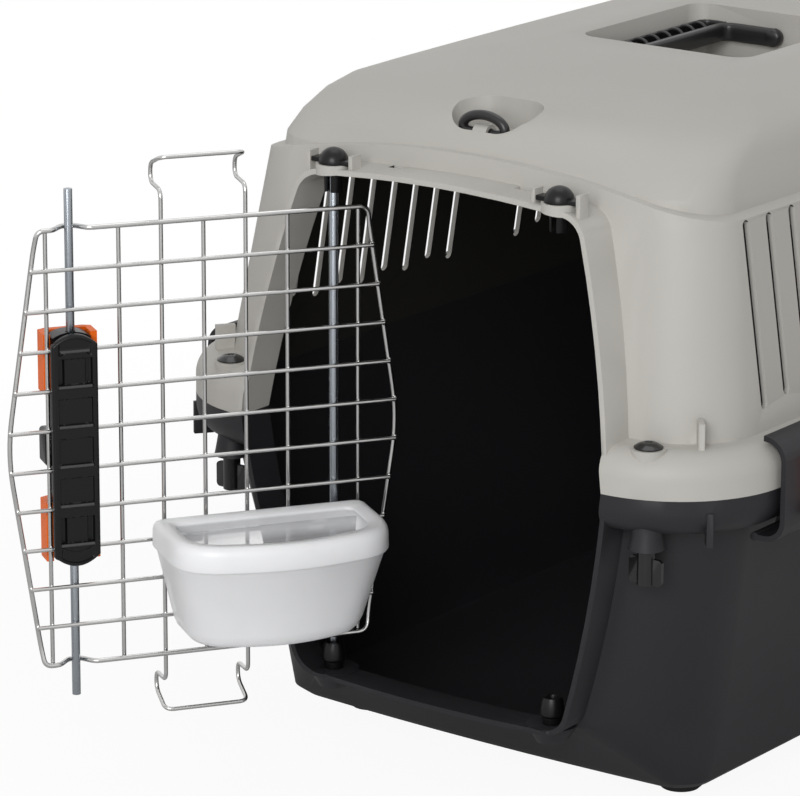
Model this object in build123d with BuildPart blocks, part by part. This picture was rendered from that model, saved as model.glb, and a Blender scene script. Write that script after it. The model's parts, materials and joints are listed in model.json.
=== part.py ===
from build123d import *
import math
import os

# Pet travel carrier: two moulded shells, a swinging wire door with a squeeze latch, a
# folding handle, strap rings and side clamps. Millimetres. The origin is the centre of
# the flat underside of the bottom shell, the door faces -Y and +Z is up.

# Shells: overall form
wall = 3.0
parting_height = 189.0
parting_half_width = 179.0
parting_half_length = 280.0
parting_corner = 48.0
crease_height = 41.0
crease_half_width = 148.0
crease_half_length = 272.0
crease_corner = 64.0
base_edge_height = 6.0
base_half_width = 145.7
base_half_length = 241.0
base_corner = 20.0
base_edge_inset = 5.0
base_panel_rise = 1.5
base_panel_half_width = 85.0
base_panel_half_length = 205.0
shoulder_height = 349.0
shoulder_drop = 20.0
shoulder_half_width = 155.0
shoulder_half_length = 255.0
shoulder_corner = 38.0
side_bow = 2.0
front_bow = 5.0

# Roof cap above the shoulder: height, half width, half length, bow, corner
cap_sections = [
    (326.0, 151.5, 253.0, 4.0, 38.0),
    (340.0, 149.5, 252.5, 7.0, 36.0),
    (351.0, 146.0, 249.0, 18.0, 35.0),
    (360.0, 143.0, 243.0, 34.0, 35.0),
    (365.5, 138.5, 237.0, 48.0, 38.0),
    (370.0, 127.0, 226.0, 60.0, 42.0),
    (374.5, 103.0, 190.0, 58.0, 42.0),
    (378.5, 72.0, 110.0, 24.0, 26.0),
]

# Flange band round both shells at the parting line
flange_half_width = 194.0
flange_half_length = 300.0
flange_corner = 70.0
flange_rise = 25.0
flange_fall = 22.0
flange_round = 15.0

# Door opening and its tunnel
opening_half_width = 122.9
opening_mid_bulge = 4.0
opening_top_half = 92.5
opening_top_height = 330.0
opening_top_arch = 5.0
opening_sill_half = 89.5
opening_sill_height = 42.0
opening_sill_sag = 3.0
opening_corner = 15.0
tunnel_front = 298.0
tunnel_lean_upper = 6.6
tunnel_lean_lower = 4.0
ledge_slot_x = 42.7
ledge_slot_y = 260.0
ledge_slot_length = 9.0
ledge_slot_width = 6.0

# Vent slots in both long sides and the rear wall, a gap left in the middle of each row
vent_width = 6.0
vent_pitch = 22.5
vent_middle = 36.0
vent_count = 9
vent_top = 328.0
vent_bottom = 220.0
vent_rise = 0.7
vent_step = 4.0
rear_vent_count = 6
rear_vent_pitch = 24.0
rear_vent_top = 322.0
rear_vent_bottom = 248.0

# Roof recess and folding handle
recess_half_width = 58.0
recess_half_length = 64.0
recess_corner = 12.0
recess_floor = 348.0
handle_axis_height = 364.0
handle_reach = 42.0
handle_grip_width = 20.0
handle_grip_height = 11.0
handle_skin = 2.4
handle_arm_thickness = 6.0
handle_arm_width = 11.0
handle_end_gap = 1.2
handle_pin_gap = 0.3
handle_pin_diameter = 8.0
handle_rib_count = 8
handle_rib_thickness = 2.0

# Strap rings on the front and rear slopes
ring_axis_reach = 238.0
ring_axis_height = 358.0
ring_half_width = 14.0
ring_height = 10.2
ring_wire = 5.6
ring_foot_bend = 4.0
ring_top_bend = 6.0
ring_gap = 0.4
ring_lug_width = 9.0
ring_lug_wall = 2.0
ring_pocket_length = 54.0
ring_pocket_width = 36.0
ring_pocket_floor = 354.5
ring_pocket_reach = 225.0

# Screws, wing nuts, belt horns and feet at the corners
screw_x = 142.6
screw_y = 284.0
screw_shaft = 6.0
screw_head_diameter = 16.0
screw_head_height = 3.6
screw_boss_diameter = 20.0
screw_boss_tip = 9.0
screw_boss_top = 214.5
screw_boss_bottom = 158.5
nut_hub_diameter = 10.0
nut_height = 20.0
nut_wing_height = 15.0
nut_span = 21.0
nut_wing_thickness = 2.2
upper_fin_x = 161.0
upper_fin_y = 262.0
lower_fin_x = 172.0
lower_fin_y = 269.0
fin_heading = 52.0
fin_thickness = 3.4
fin_length = 17.0
fin_height = 14.0
fin_step = 6.0
lower_fin_tip = 163.0
screw_gap = 0.3
foot_height = 12.0
foot_diameter = 26.0
foot_x = 110.0
foot_y = 195.0
foot_spigot = 9.0
foot_spigot_head = 12.0
foot_chamfer = 2.0
foot_gap = 0.3

# Side clamps, their hinge and their catches
clamp_half_length = 236.0
clamp_thickness = 3.0
clamp_gap = 0.5
clamp_stand = 2.0
clamp_lip = 13.0
clamp_corner = 14.0
clamp_foot_corner = 11.0
clamp_rod_diameter = 5.0
clamp_hinge_x = 180.0
clamp_hinge_height = 160.0
clamp_hook_width = 12.0
clamp_hook_wall = 2.5
clamp_hook_gap = 1.0
clamp_web = 6.0
clamp_bore_gap = 0.3
clamp_hook_places = [-200.0, -70.0, 70.0, 200.0]
catch_half_length = 31.0
catch_place = 184.0
catch_low = 173.0
catch_high = 207.0
catch_thickness = 3.6
catch_pin_diameter = 1.8
catch_window_margin = 6.0
catch_window_low = 179.0
catch_window_high = 203.0
catch_stand = 0.4
catch_lug = 2.5
catch_tab = 4.0
catch_tab_height = 197.0
catch_lip = 2.0

# Door: wires, rods and pivots; the door is drawn closed and then swung open
hinge_x = -76.2
door_y = -274.5
latch_reach = 152.4
hinge_rod_diameter = 5.6
hinge_rod_top = 333.5
latch_rod_diameter = 4.8
wire_diameter = 2.4
outline_diameter = 2.8
door_open_angle = 123.8
frame_bottom = 62.3
frame_top = 312.3
frame_half_top = 95.0
frame_half_middle = 113.5
frame_corner = 8.0
frame_apex = 25.0
frame_jog_half = 3.2
frame_jog_ramp = 7.0
frame_jog_bend = 2.6
cross_wire_count = 12
upright_offsets = [-90.0, -48.6, 0.0, 48.6, 90.0]
loop_offset = 24.3
loop_neck = 17.0
loop_reach = 19.6
loop_slope = 1.0
loop_hook = 10.3
loop_return = 18.5
loop_rise = 7.0
loop_bend = 4.0
running_gap = 0.4

# Squeeze latch on the door
latch_height = 187.3
latch_plate_length = 133.0
latch_plate_width = 26.0
latch_plate_thickness = 4.0
latch_plate_arch = 6.0
latch_plate_chamfer = 1.0
latch_panel_width = 19.0
latch_panel_length = 15.0
latch_panel_corner = 1.0
latch_panel_depth = 1.2
latch_pocket_depth = 3.0
latch_cover_length = 133.0
latch_cover_width = 22.0
latch_cover_depth = 13.0
latch_skin = 2.0
latch_travel = 15.0
latch_peg_diameter = 3.6
latch_peg_offset = 6.8
button_offset = 48.3
button_length = 34.0
button_width = 30.6
button_pad = 4.4
tongue_width = 8.0
tongue_length = 12.0
tongue_offset = 6.5
grip_length = 20.0
grip_stand = 2.0
spring_diameter = 8.0
spring_bore = 6.0
rod_top = 334.0
rod_bottom = 42.6

# Bushes on the sill and caps on the ledge, which carry the door's rods
bush_diameter = 14.0
bush_neck_diameter = 10.5
bush_base_diameter = 11.0
bush_belly = 5.5
bush_base_height = 4.0
bush_height = 15.4
bush_foot = 41.3
bush_bore_floor = 1.2
sill_boss_diameter = 29.0
sill_boss_bottom = 31.0
cap_seat = 337.3
cap_dome_diameter = 17.0
cap_ear_reach = 13.0
cap_ear_width = 7.0
cap_ear_thickness = 2.5
cap_dome_height = 9.0
cap_stem_diameter = 10.5
cap_stem_length = 16.0
cup_diameter = 20.0
cup_post_gap = 0.4
cup_post_height = 6.0
cup_post_wall = 2.6
cup_post_width = 8.0
cup_root = 318.0
cap_slot_width = 3.4
bore_gap = 0.4

# Bowl hung on the door's inner face
bowl_centre = 47.0
bowl_width = 122.0
bowl_depth = 66.0
bowl_foot_width = 96.0
bowl_foot_depth = 48.0
bowl_bottom = 78.0
bowl_top = 143.0
bowl_wall = 2.2
bowl_rim_height = 15.0
bowl_rim_step = 2.0
bowl_front_bow = 7.0
bowl_front_corner = 22.0
bowl_back_corner = 5.0
bowl_wire_row = 3
bowl_hook_width = 9.0
bowl_hook_thickness = 2.0
bowl_hook_spacing = 72.0
bowl_hook_drop = 6.0
bowl_gap = 0.3

os.makedirs("parts", exist_ok=True)


def plan_outline(half_width, half_length, bow, corner):
    """A rounded rectangle in plan whose front and rear bow out by the given amount."""
    side_y = half_length - bow
    side_x = half_width - side_bow
    with BuildSketch() as outline:
        with BuildLine():
            ThreePointArc((-side_x, -side_y), (0, -half_length), (side_x, -side_y))
            ThreePointArc((side_x, -side_y), (half_width, 0), (side_x, side_y))
            ThreePointArc((side_x, side_y), (0, half_length), (-side_x, side_y))
            ThreePointArc((-side_x, side_y), (-half_width, 0), (-side_x, -side_y))
        make_face()
        fillet(outline.vertices(), corner)
    return outline.sketch


def shell_block(sections, inset=0.0, drop=0.0):
    """A solid through plan outlines at their heights, drawn in by inset and lowered by drop."""
    with BuildPart() as block:
        for height, half_width, half_length, bow, corner in sections:
            with BuildSketch(Plane.XY.offset(height - drop)):
                add(plan_outline(half_width - inset, half_length - inset, bow, corner - inset / 2))
        loft(ruled=True)
    return block.part


def shoulder_arch(drop=0.0):
    """The space under the shoulder line, which arches up over the door."""
    reach = parting_half_width + wall
    low = shoulder_height - shoulder_drop * (reach / shoulder_half_width) ** 2 - drop
    with BuildPart() as block:
        with BuildSketch(Plane.XZ):
            with BuildLine():
                ThreePointArc((-reach, low), (0, shoulder_height - drop), (reach, low))
                Polyline((reach, low), (reach, 0), (-reach, 0), (-reach, low))
            make_face()
        extrude(amount=parting_half_length, both=True)
    return block.part


def flange_ring(low, high, inset=0.0):
    """The band round the parting line between two heights, drawn in by inset."""
    with BuildPart() as ring:
        with BuildSketch(Plane.XY.offset(low)):
            outline = plan_outline(
                flange_half_width - inset, flange_half_length - inset, 1.0, flange_corner - inset
            )
            add(outline)
        extrude(amount=high - low)
        far_end = -1 if low >= parting_height else 0
        fillet(ring.edges().group_by(Axis.Z)[far_end], flange_round - inset)
    return ring.part


def opening_outline(grow=0.0):
    """The door opening seen from the front, grown all round by a wall."""
    lower_x = (opening_half_width + opening_sill_half) / 2 + opening_mid_bulge
    lower_z = (parting_height + opening_sill_height) / 2
    upper_x = (opening_half_width + opening_top_half) / 2 + opening_mid_bulge
    upper_z = (parting_height + opening_top_height) / 2
    sill = (opening_sill_half, opening_sill_height)
    middle = (opening_half_width, parting_height)
    top = (opening_top_half, opening_top_height)
    with BuildSketch() as outline:
        with BuildLine():
            ThreePointArc(sill, (lower_x, lower_z), middle)
            ThreePointArc(middle, (upper_x, upper_z), top)
            ThreePointArc(top, (0, opening_top_height + opening_top_arch), (-top[0], top[1]))
            ThreePointArc((-top[0], top[1]), (-upper_x, upper_z), (-middle[0], middle[1]))
            ThreePointArc((-middle[0], middle[1]), (-lower_x, lower_z), (-sill[0], sill[1]))
            ThreePointArc((-sill[0], sill[1]), (0, opening_sill_height - opening_sill_sag), sill)
        make_face()
        if grow:
            offset(amount=grow, kind=Kind.INTERSECTION)
        rows = outline.vertices().group_by(Axis.Y)
        fillet(rows[0] + rows[-1], opening_corner + grow)
    return outline.sketch


tunnel_back = base_half_length - 30


def opening_tunnel(grow, front):
    """The opening carried along Y, from inside the cabin out to the front distance."""
    with BuildPart() as block:
        with BuildSketch(Plane.XZ.offset(tunnel_back)):
            add(opening_outline(grow))
        extrude(amount=front - tunnel_back)
    return block.part


def tunnel_half(upper):
    """Half of the tunnel's outside, cut at the parting line and at its leaning front."""
    end = opening_top_height + 3 * opening_top_arch if upper else 0
    lean = math.tan(math.radians(tunnel_lean_upper if upper else tunnel_lean_lower))
    front = -tunnel_front + lean * abs(end - parting_height)
    with BuildPart() as half:
        with BuildSketch(Plane.YZ):
            Polygon(
                (-tunnel_back, parting_height),
                (-tunnel_front, parting_height),
                (front, end),
                (-tunnel_back, end),
                align=None,
            )
        extrude(amount=flange_half_width, both=True)
        add(opening_tunnel(wall, tunnel_front + wall), mode=Mode.INTERSECT)
    return half.part


def corner_places(x, y):
    """The four mirrored places of a corner fitting."""
    return [(side * x, end * y) for side in (-1, 1) for end in (-1, 1)]


def screw_bosses(foot):
    """The four cones that carry the screws, widest at their foot away from the parting line."""
    turn = 0 if foot > parting_height else 180
    with BuildPart() as bosses:
        with Locations((0, 0, parting_height)):
            with Locations(*corner_places(screw_x, screw_y)):
                with Locations(Rotation(turn, 0, 0)):
                    Cone(
                        screw_boss_tip / 2,
                        screw_boss_diameter / 2,
                        abs(foot - parting_height),
                        align=(Align.CENTER, Align.CENTER, Align.MIN),
                    )
    return bosses.part


def screw_holes():
    """The four holes through both shells for the screws."""
    with BuildPart() as holes:
        with Locations((0, 0, parting_height)):
            with Locations(*corner_places(screw_x, screw_y)):
                Cylinder(screw_shaft / 2 + screw_gap, 4 * flange_rise)
    return holes.part


def corner_fins(x, y, root, tip):
    """Belt horns at the corners: plates that face out, tall outside and stepped near the wall."""
    step = math.copysign(fin_step, root - tip)
    with BuildPart() as fins:
        for side, end in [(-1, -1), (-1, 1), (1, -1), (1, 1)]:
            run = math.cos(math.radians(fin_heading))
            rise = math.sin(math.radians(fin_heading))
            outward = (side * run, end * rise, 0)
            across = (end * rise, -side * run, 0)
            with BuildSketch(Plane(origin=(side * x, end * y, 0), x_dir=outward, z_dir=across)):
                with BuildLine():
                    Polyline(
                        (-fin_length / 2, root),
                        (-fin_length / 2, tip + step),
                        (-fin_length / 6, tip + step),
                        (-fin_length / 6, tip),
                        (fin_length / 2, tip),
                        (fin_length / 2, root),
                        close=True,
                    )
                make_face()
            extrude(amount=fin_thickness / 2, both=True)
    return fins.part


def band_cavity(low, high, body, half):
    """The hollow behind the flange band, which leaves the walls and the screw bosses standing."""
    with BuildPart() as hollow:
        add(flange_ring(low, high, inset=wall))
        add(body, mode=Mode.SUBTRACT)
        add(half, mode=Mode.SUBTRACT)
        with Locations((0, 0, low)):
            with Locations(*corner_places(screw_x, screw_y)):
                Cylinder(
                    screw_boss_diameter / 2,
                    high - low,
                    align=(Align.CENTER, Align.CENTER, Align.MIN),
                    mode=Mode.SUBTRACT,
                )
    return hollow.part


panel_half_width = base_half_width - base_edge_inset
panel_half_length = base_half_length - base_edge_inset
lower_sections = [
    (base_panel_rise, panel_half_width, panel_half_length, front_bow, base_corner),
    (base_edge_height, base_half_width, base_half_length, front_bow, base_corner),
    (crease_height, crease_half_width, crease_half_length, front_bow, crease_corner),
    (parting_height, parting_half_width, parting_half_length, front_bow, parting_corner),
]
floor_top = base_panel_rise + wall
lower_cavity_sections = [(floor_top, *lower_sections[0][1:]), *lower_sections[1:]]
upper_sections = [
    (parting_height, parting_half_width, parting_half_length, front_bow, parting_corner),
    (shoulder_height, shoulder_half_width, shoulder_half_length, front_bow, shoulder_corner),
]
lower_block = shell_block(lower_sections)
upper_block = shell_block(upper_sections)
cap_block = shell_block(cap_sections)
lower_tunnel = tunnel_half(False)
upper_tunnel = tunnel_half(True)
doorway = opening_tunnel(0, tunnel_front + 2 * wall)
band_top = parting_height + flange_rise
band_foot = parting_height - flange_fall
roof_top = cap_sections[-1][0]
latch_x = hinge_x + latch_reach
rod_places = [(hinge_x, door_y), (latch_x, door_y)]

# Roof pockets: the walls of the handle recess and of the two strap ring pockets
with BuildPart() as pocket_walls:
    with BuildSketch(Plane.XY.offset(recess_floor - wall)):
        RectangleRounded(
            2 * (recess_half_width + wall), 2 * (recess_half_length + wall), recess_corner + wall
        )
    extrude(amount=roof_top - recess_floor + wall)
    with BuildSketch(Plane.XY.offset(ring_pocket_floor - wall)):
        with Locations((0, -ring_pocket_reach), (0, ring_pocket_reach)):
            SlotOverall(ring_pocket_length + 2 * wall, ring_pocket_width + 2 * wall)
    extrude(amount=roof_top - ring_pocket_floor)
    add(cap_block, mode=Mode.INTERSECT)

# The hollows of the same three pockets
with BuildPart() as pocket_hollows:
    with BuildSketch(Plane.XY.offset(recess_floor)):
        RectangleRounded(2 * recess_half_width, 2 * recess_half_length, recess_corner)
    extrude(amount=2 * (roof_top - recess_floor))
    with BuildSketch(Plane.XY.offset(ring_pocket_floor)):
        with Locations((0, -ring_pocket_reach), (0, ring_pocket_reach)):
            SlotOverall(ring_pocket_length, ring_pocket_width)
    extrude(amount=2 * (roof_top - ring_pocket_floor))

# Vent slots, cut straight through both long sides and through the rear wall
with BuildPart() as vents:
    for order in range(vent_count):
        foot = vent_bottom + vent_rise * order + vent_step * (order % 2)
        reach = vent_middle + vent_pitch * order
        with BuildSketch(Plane.YZ):
            with Locations((-reach, (foot + vent_top) / 2), (reach, (foot + vent_top) / 2)):
                SlotOverall(vent_top - foot, vent_width, rotation=90)
        extrude(amount=parting_half_width + wall, both=True)
    with BuildSketch(Plane.XZ.offset(-parting_half_length - wall)):
        with Locations((0, (rear_vent_bottom + rear_vent_top) / 2)):
            with GridLocations(rear_vent_pitch, 1, rear_vent_count, 1):
                SlotOverall(rear_vent_top - rear_vent_bottom, vent_width, rotation=90)
    extrude(amount=parting_half_length - shoulder_half_length + 4 * wall)

# Seats of the two rod caps: a round boss through the ledge and a post beside each ear
with BuildPart() as cap_seats:
    with Locations((0, 0, cap_seat)):
        with Locations(*rod_places):
            Cylinder(
                cup_diameter / 2,
                cap_seat - cup_root,
                align=(Align.CENTER, Align.CENTER, Align.MAX),
            )
    with Locations((0, 0, cup_root)):
        with Locations(*rod_places):
            with Locations(
                (-cap_ear_reach - cup_post_gap - cup_post_wall / 2, 0),
                (cap_ear_reach + cup_post_gap + cup_post_wall / 2, 0),
            ):
                Box(
                    cup_post_wall,
                    cup_post_width,
                    cap_seat + cup_post_height - cup_root,
                    align=(Align.CENTER, Align.CENTER, Align.MIN),
                )

# Bores through the ledge for the caps' stems
with BuildPart() as cap_bores:
    with Locations((0, 0, cap_seat - cap_stem_length - wall)):
        with Locations(*rod_places):
            Cylinder(
                cap_stem_diameter / 2 + bore_gap,
                cap_stem_length + 2 * wall,
                align=(Align.CENTER, Align.CENTER, Align.MIN),
            )

# Lugs that hold the foot bar of each strap ring
with BuildPart() as ring_lugs:
    with BuildSketch(Plane.YZ):
        with Locations((-ring_axis_reach, ring_axis_height), (ring_axis_reach, ring_axis_height)):
            Circle(ring_wire / 2 + ring_gap + ring_lug_wall)
            with Locations((0, (ring_pocket_floor - ring_axis_height) / 2)):
                Rectangle(ring_wire + 2 * ring_lug_wall, ring_axis_height - ring_pocket_floor)
    extrude(amount=ring_lug_width / 2, both=True)

# Bores through those lugs
with BuildPart() as ring_bores:
    with Locations((0, -ring_axis_reach, ring_axis_height), (0, ring_axis_reach, ring_axis_height)):
        Cylinder(ring_wire / 2 + ring_gap, 2 * ring_lug_width, rotation=(0, 90, 0))

# Bores for the handle's pins through the recess's end walls
with BuildPart() as pin_bores:
    with Locations((0, 0, handle_axis_height)):
        Cylinder(
            handle_pin_diameter / 2 + handle_pin_gap,
            2 * (recess_half_length + 2 * wall),
            rotation=(90, 0, 0),
        )

# Top shell: tapered walls under an arched shoulder, a crowned roof and a ledge over the door
with BuildPart() as top_shell:
    add(upper_block)
    add(shoulder_arch(), mode=Mode.INTERSECT)
    add(cap_block)
    add(flange_ring(parting_height, band_top))
    add(upper_tunnel)
    add(corner_fins(upper_fin_x, upper_fin_y, band_top - flange_round, band_top + fin_height))
    add(screw_bosses(screw_boss_top))
    add(shell_block(upper_sections, inset=wall).intersect(shoulder_arch(wall)), mode=Mode.SUBTRACT)
    add(shell_block(cap_sections, inset=wall, drop=wall), mode=Mode.SUBTRACT)
    add(band_cavity(parting_height, band_top - wall, upper_block, upper_tunnel), mode=Mode.SUBTRACT)
    add(pocket_walls.part)
    add(pocket_hollows.part, mode=Mode.SUBTRACT)
    add(ring_lugs.part)
    add(cap_seats.part)
    with Locations((0, -ledge_slot_y, opening_top_height + opening_top_arch)):
        with GridLocations(2 * ledge_slot_x, 1, 2, 1):
            Box(ledge_slot_length, ledge_slot_width, 4 * wall, mode=Mode.SUBTRACT)
    for cut in [doorway, vents.part, cap_bores.part, ring_bores.part, pin_bores.part, screw_holes()]:
        add(cut, mode=Mode.SUBTRACT)
top_shell.part.label = "top_shell"

# Clamp hooks: rings open at the foot, on webs that hang from the flange band
hook_radius = clamp_rod_diameter / 2 + clamp_bore_gap + clamp_hook_wall
with BuildPart() as clamp_hooks:
    for side in (-1, 1):
        for reach in clamp_hook_places:
            with BuildSketch(Plane.XZ.offset(-reach)):
                with Locations((side * clamp_hinge_x, clamp_hinge_height)):
                    Circle(hook_radius)
                    with Locations((0, hook_radius - wall / 2)):
                        Rectangle(clamp_web, 2 * hook_radius - wall)
                    Circle(clamp_rod_diameter / 2 + clamp_bore_gap, mode=Mode.SUBTRACT)
                    with Locations((0, -hook_radius)):
                        Rectangle(clamp_rod_diameter - 2 * clamp_bore_gap, hook_radius, mode=Mode.SUBTRACT)
            extrude(amount=clamp_hook_width / 2, both=True)

# Bosses on the sill that carry the rods' bushes
with BuildPart() as sill_bosses:
    with Locations((0, 0, sill_boss_bottom)):
        with Locations(*rod_places):
            Cone(
                sill_boss_diameter / 2 - 2 * wall,
                sill_boss_diameter / 2,
                bush_foot - sill_boss_bottom,
                align=(Align.CENTER, Align.CENTER, Align.MIN),
            )

# Clear room round each bush, where the shell's own wall would touch it
with BuildPart() as bush_seats:
    with Locations((0, 0, bush_foot)):
        with Locations(*rod_places):
            Cylinder(
                bush_diameter / 2 + bore_gap,
                bush_height,
                align=(Align.CENTER, Align.CENTER, Align.MIN),
            )

# Holes in the floor for the feet
with BuildPart() as foot_holes:
    with Locations(*corner_places(foot_x, foot_y)):
        Cylinder(foot_spigot / 2 + foot_gap, 4 * wall)

# Bottom shell: tapered tub with a sloping plinth, a sill under the door and the lower band
with BuildPart() as bottom_shell:
    add(lower_block)
    with BuildSketch():
        RectangleRounded(2 * base_panel_half_width, 2 * base_panel_half_length, base_corner)
    extrude(amount=floor_top)
    add(flange_ring(band_foot, parting_height))
    add(lower_tunnel)
    add(corner_fins(lower_fin_x, lower_fin_y, band_foot + flange_round, lower_fin_tip))
    add(screw_bosses(screw_boss_bottom))
    add(shell_block(lower_cavity_sections, inset=wall), mode=Mode.SUBTRACT)
    add(band_cavity(band_foot + wall, parting_height, lower_block, lower_tunnel), mode=Mode.SUBTRACT)
    add(doorway, mode=Mode.SUBTRACT)
    add(sill_bosses.part)
    add(clamp_hooks.part)
    for cut in [bush_seats.part, foot_holes.part, screw_holes()]:
        add(cut, mode=Mode.SUBTRACT)
bottom_shell.part.label = "bottom_shell"


def wire_run(points, bends, diameter, closed=False):
    """A round wire bent along straight runs, with a bend radius at each corner."""
    with BuildPart() as run:
        with BuildLine() as path:
            FilletPolyline(*points, radius=bends, close=closed)
        with BuildSketch(path.line ^ 0):
            Circle(diameter / 2)
        sweep()
    return run.part


door_swing = Location((hinge_x, door_y, 0), (0, 0, -door_open_angle))
door_centre = latch_reach / 2
cross_y = hinge_rod_diameter / 2 + wire_diameter / 2
outline_y = cross_y - (wire_diameter + outline_diameter) / 2
upright_y = cross_y - wire_diameter
run_y = hinge_rod_diameter / 2 + outline_diameter / 2
row_pitch = (frame_top - frame_bottom) / (cross_wire_count - 1)
frame_middle = (frame_top + frame_bottom) / 2


def frame_half_width(height):
    """Half the door frame's width at a height: it bulges to an apex halfway up."""
    share = 1 - abs(height - frame_middle) / (frame_top - frame_middle)
    return frame_half_top + (frame_half_middle - frame_half_top) * share


def outline_points():
    """The outline wire's corners: runs behind the hinge rod, jogged in front of the latch rod."""
    first_row = frame_bottom + row_pitch / 2
    last_row = frame_top - row_pitch / 2
    jog = [latch_reach - frame_jog_half - frame_jog_ramp, latch_reach - frame_jog_half]
    jog += [latch_reach + frame_jog_half, latch_reach + frame_jog_half + frame_jog_ramp]
    points = [(door_centre - frame_half_top, run_y, frame_top)]
    points += [(x, y, frame_top) for x, y in zip(jog, (run_y, -run_y, -run_y, run_y))]
    points += [(door_centre + frame_half_top, run_y, frame_top)]
    points += [(door_centre + frame_half_width(last_row), outline_y, last_row)]
    points += [(door_centre + frame_half_middle, outline_y, frame_middle)]
    points += [(door_centre + frame_half_width(first_row), outline_y, first_row)]
    points += [(door_centre + frame_half_top, run_y, frame_bottom)]
    points += [(x, y, frame_bottom) for x, y in zip(reversed(jog), (run_y, -run_y, -run_y, run_y))]
    points += [(door_centre - frame_half_top, run_y, frame_bottom)]
    points += [(door_centre - frame_half_width(first_row), outline_y, first_row)]
    points += [(door_centre - frame_half_middle, outline_y, frame_middle)]
    points += [(door_centre - frame_half_width(last_row), outline_y, last_row)]
    return points


corner_bends = [frame_corner, frame_jog_bend, frame_jog_bend, frame_jog_bend, frame_jog_bend, frame_corner]
side_bends = [frame_corner, frame_apex, frame_corner]
door_outline = wire_run(outline_points(), 2 * (corner_bends + side_bends), outline_diameter, closed=True)

# Ten cross wires between the outline's top and bottom runs
with BuildPart() as cross_wires:
    for row in range(1, cross_wire_count - 1):
        height = frame_bottom + row * row_pitch
        with Locations((door_centre, cross_y, height)):
            Cylinder(wire_diameter / 2, 2 * frame_half_width(height), rotation=(0, 90, 0))

# Five upright wires, welded to the front of the cross wires
with BuildPart() as upright_wires:
    for offset_x in upright_offsets:
        with Locations((door_centre + offset_x, upright_y, frame_middle)):
            Cylinder(wire_diameter / 2, frame_top - frame_bottom)

# Catch loop: one closed wire that hooks round the ledge above and the sill below
loop_top = [
    (upright_y, frame_top + loop_neck),
    (upright_y - loop_reach, frame_top + loop_neck + loop_slope),
    (upright_y - loop_reach, frame_top + loop_neck + loop_slope + loop_hook),
    (upright_y - loop_reach + loop_return, frame_top + loop_neck + loop_slope + loop_hook + loop_rise),
]
loop_foot = [(y, 2 * frame_middle - z) for y, z in loop_top]
near_leg = door_centre - loop_offset
far_leg = door_centre + loop_offset
loop_points = [(near_leg, y, z) for y, z in loop_top]
loop_points += [(far_leg, y, z) for y, z in reversed(loop_top)]
loop_points += [(far_leg, y, z) for y, z in loop_foot]
loop_points += [(near_leg, y, z) for y, z in reversed(loop_foot)]
catch_loop = wire_run(loop_points, loop_bend, wire_diameter, closed=True)

# Hinge rod, from the bush on the sill to the cap on the ledge
rod_foot = bush_foot + bush_bore_floor + bore_gap
with BuildPart() as hinge_rod:
    with Locations((0, 0, rod_foot)):
        Cylinder(
            hinge_rod_diameter / 2,
            hinge_rod_top - rod_foot,
            align=(Align.CENTER, Align.CENTER, Align.MIN),
        )


def latch_outline(width, length, arch):
    """A latch plate's outline, centred on the latch: straight sides and arched ends."""
    side = length / 2 - arch
    with BuildSketch() as outline:
        with BuildLine():
            Line((-width / 2, -side), (-width / 2, side))
            ThreePointArc((-width / 2, side), (0, length / 2), (width / 2, side))
            Line((width / 2, side), (width / 2, -side))
            ThreePointArc((width / 2, -side), (0, -length / 2), (-width / 2, -side))
        make_face()
    return outline.sketch


def latch_plane(y):
    """A plane across the latch at a depth y, facing out of the door."""
    return Plane(origin=(latch_reach, y, latch_height), x_dir=(1, 0, 0), z_dir=(0, -1, 0))


plate_front = cross_y + wire_diameter / 2 + running_gap
plate_back = plate_front + latch_plate_thickness
cover_back = latch_rod_diameter / 2
cover_front = cover_back - latch_cover_depth
cover_skin_back = cover_front + latch_skin
peg_places = [(x, z) for x in (-latch_peg_offset, latch_peg_offset) for z in (-row_pitch, row_pitch)]

# Latch plate behind the wires: three sunk panels between two deep pockets, one per row of
# wires, and four pegs to the cover
with BuildPart() as latch_back_plate:
    with BuildSketch(latch_plane(plate_back)):
        add(latch_outline(latch_plate_width, latch_plate_length, latch_plate_arch))
    extrude(amount=latch_plate_thickness)
    chamfer(latch_back_plate.faces().sort_by(Axis.Y)[-1].outer_wire().edges(), latch_plate_chamfer)
    with BuildSketch(latch_plane(plate_back)):
        with GridLocations(1, row_pitch, 1, 3):
            RectangleRounded(latch_panel_width, latch_panel_length, latch_panel_corner)
    extrude(amount=latch_panel_depth, mode=Mode.SUBTRACT)
    with BuildSketch(latch_plane(plate_back)):
        with GridLocations(1, 4 * row_pitch, 1, 2):
            RectangleRounded(latch_panel_width, latch_panel_length, latch_panel_corner)
    extrude(amount=latch_pocket_depth, mode=Mode.SUBTRACT)
    with BuildSketch(latch_plane(plate_front)):
        with Locations(*peg_places):
            Circle(latch_peg_diameter / 2)
    extrude(amount=plate_front - cover_skin_back)

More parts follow.
